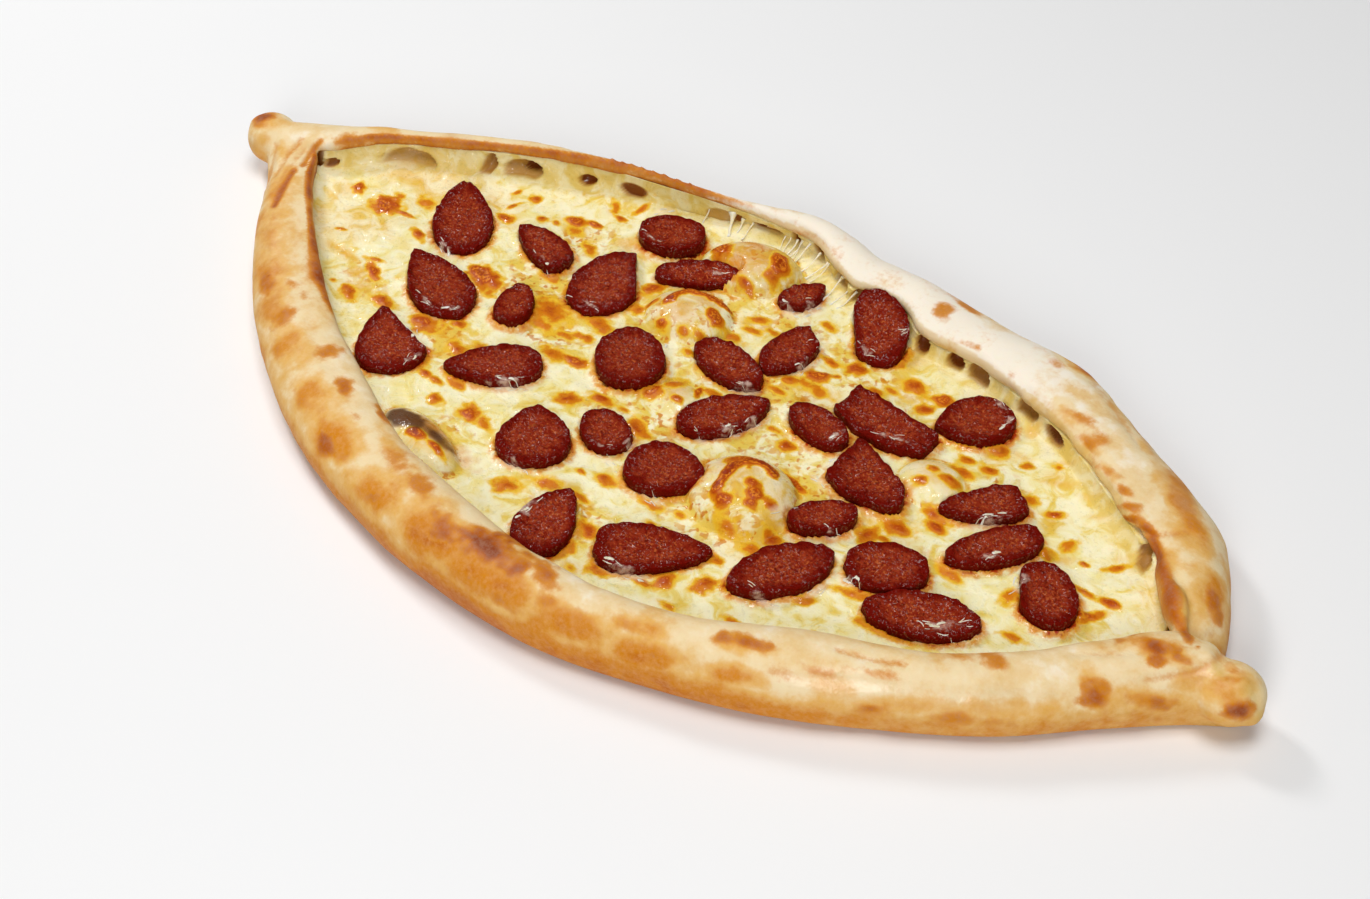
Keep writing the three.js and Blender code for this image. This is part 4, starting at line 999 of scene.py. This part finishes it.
# Under a slice the cheese is pressed flat; round it, it has climbed the slice's edge and taken up
# its red oil, the most on the side that the oil ran to.
BED, DEEPER = 0.3, 0.35           # the bed is this far below the slice, and deeper by this each mm
CLING, CLING_WIDE = 1.1, 1.5      # how high and how far out the cheese clings to an edge
OIL_WAY = (0.64, -0.77)
red = np.zeros(len(at))
for number, row in enumerate(SLICES):
    (px, py), long, _, turn, _, tilts, lift, _ = row
    close = np.where(on_top & (np.hypot(plan[:, 0] - px, plan[:, 1] - py) < long / 2 + 8))[0]
    u, v = turned(-turn, plan[close, 0] - px, plan[close, 1] - py)
    off = away_from_outline(u, v, slice_outline(row, 72, number))
    tilt_u, tilt_v = (math.sin(math.radians(tilt)) for tilt in tilts)
    level = slice_level(px, py) + lift + u * tilt_u + v * tilt_v
    z = at[close, 2]
    z = np.where(off < 0.4, np.minimum(z, level - BED - DEEPER * np.clip(-off, 0, 2)), z)
    climb = np.clip(level + CLING - z, 0, 1.8) * 0.7 * ridge(np.clip(off - 0.3, 0, None), CLING_WIDE)
    at[close, 2] = z + np.where(off >= 0.4, climb, 0)
    east, north = turned(turn, u, v)
    front = (east * OIL_WAY[0] + north * OIL_WAY[1]) / (np.hypot(east, north) + 1e-6)
    front = ease(-0.8, 0.6, front)
    fringe = np.exp(-(np.clip(off, 0, None) / (0.8 + 1.3 * front)) ** 1.4)
    fringe = fringe * (0.45 + 0.55 * front) * (0.75 + 0.5 * rough(at[close], 1.6, 36))
    red[close] = np.maximum(red[close], fringe)

# The grid is closed behind the wall and under the layer, inside the dough and out of sight
DOUGH_BEHIND = 3.0    # mm of dough that stay outside the coat
IN_BASE = 0.3         # the underside is this far above the dough's base
far_width = far["outer"](columns) - far["lip"](columns)
back_line = far["lip"](columns) + np.minimum(far["recess"](columns), DEEPEST_RECESS * far_width)
back_line = np.minimum(back_line, far["outer"](columns) - DOUGH_BEHIND)
shown_rows = ROWS + WALL_ROWS
at = at.reshape(COLUMNS, shown_rows, 3)
at[:, ROWS:, 1] = np.minimum(at[:, ROWS:, 1], (back_line - 0.2)[:, None])
behind = np.stack([columns, back_line + 0.4, at[:, -1, 2] - 0.6], axis=-1)
floor_far, floor_near = behind.copy(), at[:, 0].copy()
floor_far[:, 2] = floor_near[:, 2] = BASE + IN_BASE
grid = np.concatenate([at, behind[:, None], floor_far[:, None], floor_near[:, None]], axis=1)
across = grid.shape[1]
faces = [(i * across + j, (i + 1) * across + j, (i + 1) * across + (j + 1) % across,
          i * across + (j + 1) % across) for i in range(COLUMNS - 1) for j in range(across)]
faces.append(tuple(range(across)))
faces.append(tuple((COLUMNS - 1) * across + j for j in reversed(range(across))))
cheese = put("cheese_filling", mesh_of("cheese_filling", grid.reshape(-1, 3), faces))


def paint_cheese(name, values, fill=0.0):
    """Stores the shown surface's numbers, carried round the hidden back and underside."""
    hidden = np.full((COLUMNS, across - shown_rows), fill)
    paint(cheese.data, name, np.concatenate([values.reshape(COLUMNS, shown_rows), hidden], axis=1).ravel())


flat = at.reshape(-1, 3)
warm = shown(plan, WARM, 0.3 * rough(flat, 9, 38))
for (cx, cy), (long, wide), _, turn, _ in BUBBLES:
    u, v = turned(-turn, plan[:, 0] - cx, plan[:, 1] - cy)
    foot = np.hypot(u / long, v / wide) + 0.05 * rough(flat, 5, 39)
    warm = np.maximum(warm, 1.3 * ridge(foot, 0.10, 1.02))
paint_cheese("warm", warm)
paint_cheese("toast", toast, -1)
paint_cheese("tan", shown(plan, TANNED, ragged * 0.8))
paint_cheese("char", shown(plan, CHARRED, ragged * 0.7))
paint_cheese("oil", shown(plan, OILY, 0.45 * rough(flat, 5, 37)))
paint_cheese("film", np.clip(film, 0, 1))
paint_cheese("red", np.clip(red, 0, 1))
# painted shade inside the holes of the coat
paint_cheese("hole", painted_hole_shade)
paint_cheese("coat", coat)

# Molten cheese: pale curd, yellow where the fat came out, tan to dark brown where the oven toasted
# it, red with the oil of the sausage round the slices, and painted shade inside the holes of the coat
CURD_PALE, CURD_YELLOW, BUTTER = srgb(248, 240, 200), srgb(240, 224, 150), srgb(230, 196, 74)
FLECK, SPECK, OIL_POOL = srgb(222, 158, 34), srgb(206, 122, 12), srgb(228, 166, 26)
COAT, TAN, BLISTER = srgb(224, 192, 100), srgb(214, 138, 44), srgb(222, 128, 24)
TOAST_YELLOW, TOAST_GOLDEN = srgb(236, 188, 44), srgb(212, 122, 8)
TOAST_BROWN, TOAST_DARK, CHAR = srgb(176, 66, 0), srgb(150, 48, 0), srgb(74, 40, 22)
OIL_ORANGE, OIL_RED, MILKY = srgb(224, 146, 30), srgb(172, 50, 2), srgb(250, 236, 206)
HOLE_EDGE_SHADE, HOLE_DEEP_SHADE = srgb(176, 122, 44), srgb(116, 50, 6)

molten, n, skin = food_material("molten_cheese", Subsurface_Weight=0.12, Subsurface_Scale=1.0,
                                Subsurface_Radius=(0.003, 0.002, 0.0008))
curd = n.noise(6, 4, 0.55, 0.8)
flecks = n.noise(3.6, 1.5, 0.5, 0.4)
specks = n.noise(2.2, 1, 0.5, 0.3)
threads = n.noise(1.5, 3, 0.55, 0.8)
zone = n.plus(n.number("warm"), n.between(n.noise(17, 3, 0.5), 0.3, 0.7, -0.4, 0.4))
yellow = n.plus(curd, n.times(zone, 0.2))
flecked = n.times(n.between(flecks, 0.54, 0.64, 0.0, 0.85), n.between(zone, 0.2, 0.8))
specked = n.times(n.between(specks, 0.58, 0.66, 0.0, 0.85), n.between(zone, 0.25, 0.85))
colour = n.layered(CURD_PALE,
                   (n.between(curd, 0.35, 0.65), CURD_YELLOW),
                   (n.between(yellow, 0.54, 0.76, 0.0, 0.9), BUTTER),
                   (flecked, FLECK),
                   (specked, SPECK),
                   (n.times(n.number("oil"), n.between(curd, 0.25, 0.6, 0.25, 0.95)), OIL_POOL),
                   (n.times(n.number("coat"), n.between(curd, 0.3, 0.7, 0.3, 0.85)), COAT),
                   (n.times(n.number("tan"), n.between(curd, 0.2, 0.7, 0.8, 1.0)), TAN))
heat = n.plus(n.plus(n.number("toast"), n.swing(threads, 0.3)), n.swing(flecks, 0.5))
colour = n.group("browning", Colour=colour, Heat=heat, Softness=0.75, Yellow=TOAST_YELLOW,
                 Golden=TOAST_GOLDEN, Brown=TOAST_BROWN, Dark=TOAST_DARK)
blister = n.times(n.between(heat, 0.55, 0.72), n.between(heat, 1.15, 0.9))
blister = n.times(blister, n.between(n.noise(0.8, 2), 0.42, 0.62, 0.1, 1.0))
seep = n.times(n.number("red"), n.between(threads, 0.3, 0.6, 0.6, 1.1))
colour = n.layered(colour,
                   (blister, BLISTER),
                   (n.between(n.number("char"), 0.1, 0.9, 0.0, 0.9), CHAR),
                   (n.between(seep, 0.08, 0.45, 0.0, 0.9), OIL_ORANGE),
                   (n.between(seep, 0.42, 0.85), OIL_RED),
                   (n.times(n.number("film"), 0.6), MILKY),
                   # Painted shade inside the holes of the coat: brownish at their edges, deep brown in
                   # their middles
                   (n.between(n.number("hole"), 0.0, 0.5, 0.0, 0.85), HOLE_EDGE_SHADE),
                   (n.between(n.number("hole"), 0.45, 0.8, 0.0, 0.95), HOLE_DEEP_SHADE))
n.set(skin["Base Color"], colour)
wet = n.glints(1.3, 2, 0.56, 0.66)
n.set(skin["Specular IOR Level"], n.between(wet, 0.0, 1.0, 0.15, 0.9))
n.set(skin["Roughness"], n.between(wet, 0.0, 1.0, 0.4, 0.16))
n.set(skin["Normal"], n.group("relief", Fine=threads, Fine_Depth_mm=0.14, Coarse=curd,
                              Coarse_Depth_mm=0.4))
cheese.data.materials.append(molten)
cheese.data.shade_smooth()
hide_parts("cheese")
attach(cheese, "root")

# ---------------------------------------------------------------------------------------------
# Strings of cheese at the far rim.
# White threads that the cheese pulled as it rose and sank: they run from the lip down to the
# filling, thick where they leave it and thin in the middle, each stuck at both ends.

STRINGS = [   # foot, head, and the thickness at the foot, in the middle and at the head, in mm
    ((-40.5, 68.4, 9.5), (-41, 74, 15.4), (0.9, 0.45, 1.0)),
    ((-29.5, 68.5, 10), (-32.6, 74.4, 15), (1.8, 1.0, 3.2)),
    ((-27.8, 68.8, 10), (-28.6, 75, 14), (1.0, 0.5, 1.6)),
    ((-24.8, 69.2, 11), (-25.5, 76, 13.5), (0.8, 0.35, 0.9)),
    ((-12.8, 72.3, 10), (-13.8, 77.8, 13), (0.7, 0.3, 0.6)),
    ((-11.4, 72.6, 10), (-11.8, 78, 13.2), (0.6, 0.35, 0.8)),
    ((-9.8, 73.0, 9.5), (-9.2, 78.2, 13.6), (1.0, 0.5, 1.0)),
    ((-8.6, 73.0, 9.5), (-7.2, 78.4, 14), (0.7, 0.4, 0.8)),
    ((-7.2, 72.6, 9.5), (-7.6, 78.4, 14), (0.8, 0.3, 0.6)),
    ((-6.0, 72.2, 9.5), (-4.6, 78.6, 14.2), (0.9, 0.45, 1.1)),
    ((-1.5, 69.5, 9.5), (1.2, 76.6, 14.4), (1.0, 0.4, 0.9)),
    ((1.5, 68.0, 9.5), (5.2, 75.0, 13.6), (1.2, 0.5, 1.2)),
    ((4.0, 67.5, 9.5), (6.5, 74.4, 14.4), (0.7, 0.3, 0.7)),
    ((12.0, 63.4, 9.5), (13.6, 71.5, 14.6), (1.0, 0.45, 1.2)),
    ((15.2, 62.6, 9.5), (18.2, 69.6, 14.2), (0.8, 0.35, 0.9)),
    ((18.0, 62.6, 9.5), (20.4, 69.6, 13.4), (0.9, 0.5, 1.0)),
]
THREAD_SIDES = 8
SAG, WAVER = 0.5, 0.15   # a string hangs and wavers by this much


def thread(points, radii, flat=1.0):
    """Closed round thread along a line; flat squeezes its height."""
    ahead = np.gradient(points, axis=0)
    ahead /= np.linalg.norm(ahead, axis=1)[:, None]
    across = np.cross(ahead, (0.0, 0.0, 1.0))
    across /= np.linalg.norm(across, axis=1)[:, None]
    above = np.cross(across, ahead)
    rings = [points + radii[:, None] * (across * math.cos(a) + above * math.sin(a) * flat)
             for a in 2 * math.pi * np.arange(THREAD_SIDES) / THREAD_SIDES]
    return np.stack(rings, axis=1).reshape(-1, 3), closed_rings(len(points), THREAD_SIDES)


strung = []
along = np.linspace(0, 1, 15)
for foot, head, (low, middle, high) in STRINGS:
    line = np.array(foot) + np.outer(along, np.subtract(head, foot))
    line[:, 2] -= SAG * np.sin(math.pi * along)
    line[:, 0] += WAVER * np.sin(7 * along + foot[0])
    radii = np.where(along < 0.5, middle + (low - middle) * (1 - 2 * along) ** 3,
                     middle + (high - middle) * np.abs(2 * along - 1) ** 3) / 2
    strung.append(thread(line, radii))
strings = put("cheese_strings", mesh_of("cheese_strings", *joined(strung)))
strings.data.shade_smooth()

STRAND_WHITE, STRAND_CREAM = srgb(252, 246, 226), srgb(242, 228, 182)
stringy, n, skin = food_material("stretched_cheese", Subsurface_Weight=0.3, Subsurface_Scale=1.0,
                                 Subsurface_Radius=(0.004, 0.003, 0.0015), Roughness=0.42)
strand = n.noise(1.6, 3, 0.5)
n.set(skin["Base Color"], n.layered(STRAND_WHITE, (n.between(strand, 0.35, 0.7), STRAND_CREAM)))
n.set(skin["Normal"], n.group("relief", Fine=strand, Fine_Depth_mm=0.12, Coarse=n.noise(4),
                              Coarse_Depth_mm=0.2))
strings.data.materials.append(stringy)
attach(strings, "root")

# ---------------------------------------------------------------------------------------------
# Sausage slices.
# Slices of dry beef sausage cut on the slant, baked on the cheese till they cup a little: the
# rim dries dark and knobbly, oil shines on the top, and each lies pressed into the melt.

SLICE_THICK, SLICE_SINK = 4.0, 1.2   # a slice stands this far in the cheese
DISH = 0.32                          # the middle of its top is this far below its height
AROUND = 160
TOP_RINGS = [0.07, 0.15, 0.23, 0.31, 0.39, 0.47, 0.55, 0.62, 0.69, 0.75, 0.80, 0.85, 0.89, 0.925,
             0.955, 0.98, 0.995]                  # as shares of the way out to the outline
SIDE_LEVELS = [0.90, 0.72, 0.52, 0.32, 0.12, 0.0]   # as shares of the height of the edge


def sausage_slice(number, row):
    """Points and faces of a slice, and where on it each point is: 0 middle, 1 edge, 2 underside."""
    (px, py), _, _, turn, _, tilts, lift, _ = row
    u, v = slice_outline(row, AROUND, number)
    grain = number * 31    # so that no two slices are alike
    centre = SLICE_THICK - SLICE_SINK - DISH
    rings, part = [], []
    for share in TOP_RINGS:
        cup = 0.55 * ease(0.45, 0.95, share) - 0.15 * ease(0.97, 1.0, share)
        walk = np.stack([u * share, v * share, 0 * u + grain], axis=-1)
        wrinkles = 0.50 * ease(0.6, 0.9, share) * rough(walk, 1.6, 52)
        z = centre + cup + 0.20 * rough(walk, 5.0, 50) * min(1, share * 2) \
            + 0.22 * rough(walk, 1.7, 51) + wrinkles
        rings.append(np.stack([u * share, v * share, z], axis=-1))
        part.append(share)
    edge_z = rings[-1][:, 2]
    for level in SIDE_LEVELS:
        spread = 1.0 + 0.012 * math.sin(math.pi * level) - 0.03 * ease(0.35, 0.0, level)
        z = -SLICE_SINK + (edge_z + SLICE_SINK) * level
        walk = np.stack([u, v, z + grain], axis=-1)
        swell = (spread + 0.016 * rough(walk, 1.5, 53))[:, None]
        rings.append(np.concatenate([np.stack([u, v], axis=-1) * swell, z[:, None]], axis=1))
        part.append(1.0 + (1 - level))
    points = np.concatenate([[[0, 0, centre]], *rings, [[0, 0, -SLICE_SINK]]])
    faces = [(0, 1 + j, 1 + (j + 1) % AROUND) for j in range(AROUND)]
    for k in range(len(rings) - 1):
        a, b = 1 + k * AROUND, 1 + (k + 1) * AROUND
        faces += [(a + j, b + j, b + (j + 1) % AROUND, a + (j + 1) % AROUND) for j in range(AROUND)]
    last = 1 + (len(rings) - 1) * AROUND
    faces += [(last + (j + 1) % AROUND, last + j, len(points) - 1) for j in range(AROUND)]
    tilt_u, tilt_v = (math.sin(math.radians(tilt)) for tilt in tilts)
    seat = slice_level(px, py) + lift
    points[:, 2] += points[:, 0] * tilt_u + points[:, 1] * tilt_v + seat
    x, y = turned(turn, points[:, 0], points[:, 1])
    place = np.concatenate([[0.0], np.repeat(part, AROUND), [2.0]])
    return np.stack([x + px, y + py, points[:, 2]], axis=-1), faces, place


# Cured sausage: deep red meat with pale fat in the cut, darker and drier towards the skin, a milky
# film where cheese ran over it, and glints of oil
MEAT, MEAT_DEEP, MEAT_DRY = srgb(150, 50, 24), srgb(126, 24, 8), srgb(110, 12, 3)
SAUSAGE_SKIN, FAT, PEPPER = srgb(106, 18, 5), srgb(196, 100, 50), srgb(72, 6, 2)
CHEESE_FILM = srgb(226, 196, 178)

cured, n, skin = food_material("cured_sausage")
meat = n.noise(2.4, 4, 0.6, 0.5)
fine = n.noise(0.9, 3, 0.6)
edge = n.plus(n.number("place"), n.swing(meat, 0.6))
fat = n.times(n.between(n.noise(0.8, 3, 0.6, 0.2), 0.52, 0.66), n.between(edge, 0.85, 0.5))
milky = n.plus(n.number("film"), n.swing(meat, 1.4))
n.set(skin["Base Color"], n.layered(MEAT,
                                    (n.between(meat, 0.35, 0.68), MEAT_DEEP),
                                    (n.between(edge, 0.55, 0.95), MEAT_DRY),
                                    (n.between(edge, 1.05, 1.3), SAUSAGE_SKIN),
                                    (n.times(fat, 0.7), FAT),
                                    (n.between(fine, 0.54, 0.68, 0.0, 0.65), PEPPER),
                                    (n.between(milky, 0.34, 0.8, 0.0, 0.7), CHEESE_FILM)))
oiled = n.times(n.glints(0.7, 1, 0.56, 0.62), n.glints(4.0, 2, 0.36, 0.5, 0.5))
n.set(skin["Specular IOR Level"], n.between(oiled, 0.0, 1.0, 0.02, 1.0))
n.set(skin["Roughness"], n.between(oiled, 0.0, 1.0, 0.42, 0.18))
n.set(skin["Normal"], n.group("relief", Fine=fine, Fine_Depth_mm=0.6, Coarse=meat,
                              Coarse_Depth_mm=0.8))
slices = []
for number, row in enumerate(SLICES):
    points, faces, place = sausage_slice(number, row)
    name = f"sausage_{number + 1:02d}"
    piece = put(name + "_look", mesh_of(name + "_look", points, faces))
    paint(piece.data, "place", place)
    ragged = uneven(points, (0.4, 2.2, 54), (0.3, 1.0, 55))
    paint(piece.data, "film", shown(points[:, :2], [(*smear, 0.6) for smear in SMEARS], ragged))
    piece.data.materials.append(cured)
    piece.data.shade_smooth()
    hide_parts(name)
    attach(piece, "root")
    slices.append(piece)

# ---------------------------------------------------------------------------------------------
# Shreds of cheese over the slices.
# Thin white threads and torn films that stuck to the edges of the slices when the cheese sank
# back. Each lies on what is under it and is pressed into it at both ends.

THREADS_PER_MM2 = 0.45                  # for each smear, besides its first thread
TORN_SHARE = 0.2                        # share of them that are wide, flat scraps of film
THREAD_LONG = (2.5, 5.5)
THREAD_WIDE, SCRAP_WIDE = (0.2, 0.38), (0.7, 1.2)
THREAD_FLAT, SCRAP_FLAT = 0.7, 0.25     # height as a share of the width

draw = np.random.default_rng(11)
view = bpy.context.evaluated_depsgraph_get()
view.update()
grounds = [BVHTree.FromObject(piece, view) for piece in (cheese, *slices)]


def top_of(x, y):
    """Level of the highest surface under a place."""
    over = Vector(((x - MIDDLE[0]) / 1000, (y - MIDDLE[1]) / 1000, 0.05))
    hits = [ground.ray_cast(over, Vector((0, 0, -1)))[0] for ground in grounds]
    return max([hit.z * 1000 for hit in hits if hit], default=CHEESE_LEVEL)


def shred(x, y, heading, long, thick, flat):
    """Bent thread laid over the ground from a place on."""
    steps, stiff, press = 11, 0.4, 0.4
    bend = draw.normal(0, 22)
    ways = np.radians(heading + bend * np.linspace(-1, 1, steps))
    xs = x + np.cumsum(np.cos(ways)) * long / steps
    ys = y + np.cumsum(np.sin(ways)) * long / steps
    ground = np.array([top_of(*place) for place in zip(xs, ys)])
    eased = np.convolve(np.pad(ground, 2, "edge"), np.full(5, 0.2), "valid")
    share = np.linspace(0, 1, steps)
    zs = (1 - stiff) * ground + stiff * eased - press * np.abs(2 * share - 1) ** 4
    radii = thick / 2 * (0.35 + 0.65 * np.sin(math.pi * share)) * draw.uniform(0.8, 1.2, steps)
    return thread(np.stack([xs, ys, zs], axis=-1), radii, flat)


laid = []
for x, y, long, wide, turn in SMEARS:
    for _ in range(int(1 + long * wide * THREADS_PER_MM2)):
        u, v = turned(turn, *(draw.uniform(-0.7, 0.7, 2) * (long, wide)))
        heading = turn + draw.normal(0, 16) + 180 * draw.integers(2)
        torn = draw.random() < TORN_SHARE
        length = draw.uniform(*THREAD_LONG)
        width = draw.uniform(*(SCRAP_WIDE if torn else THREAD_WIDE))
        laid.append(shred(x + u, y + v, heading, length, width, SCRAP_FLAT if torn else THREAD_FLAT))
shreds = put("cheese_shreds", mesh_of("cheese_shreds", *joined(laid)))
shreds.data.shade_smooth()
shreds.data.materials.append(stringy)
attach(shreds, "root")
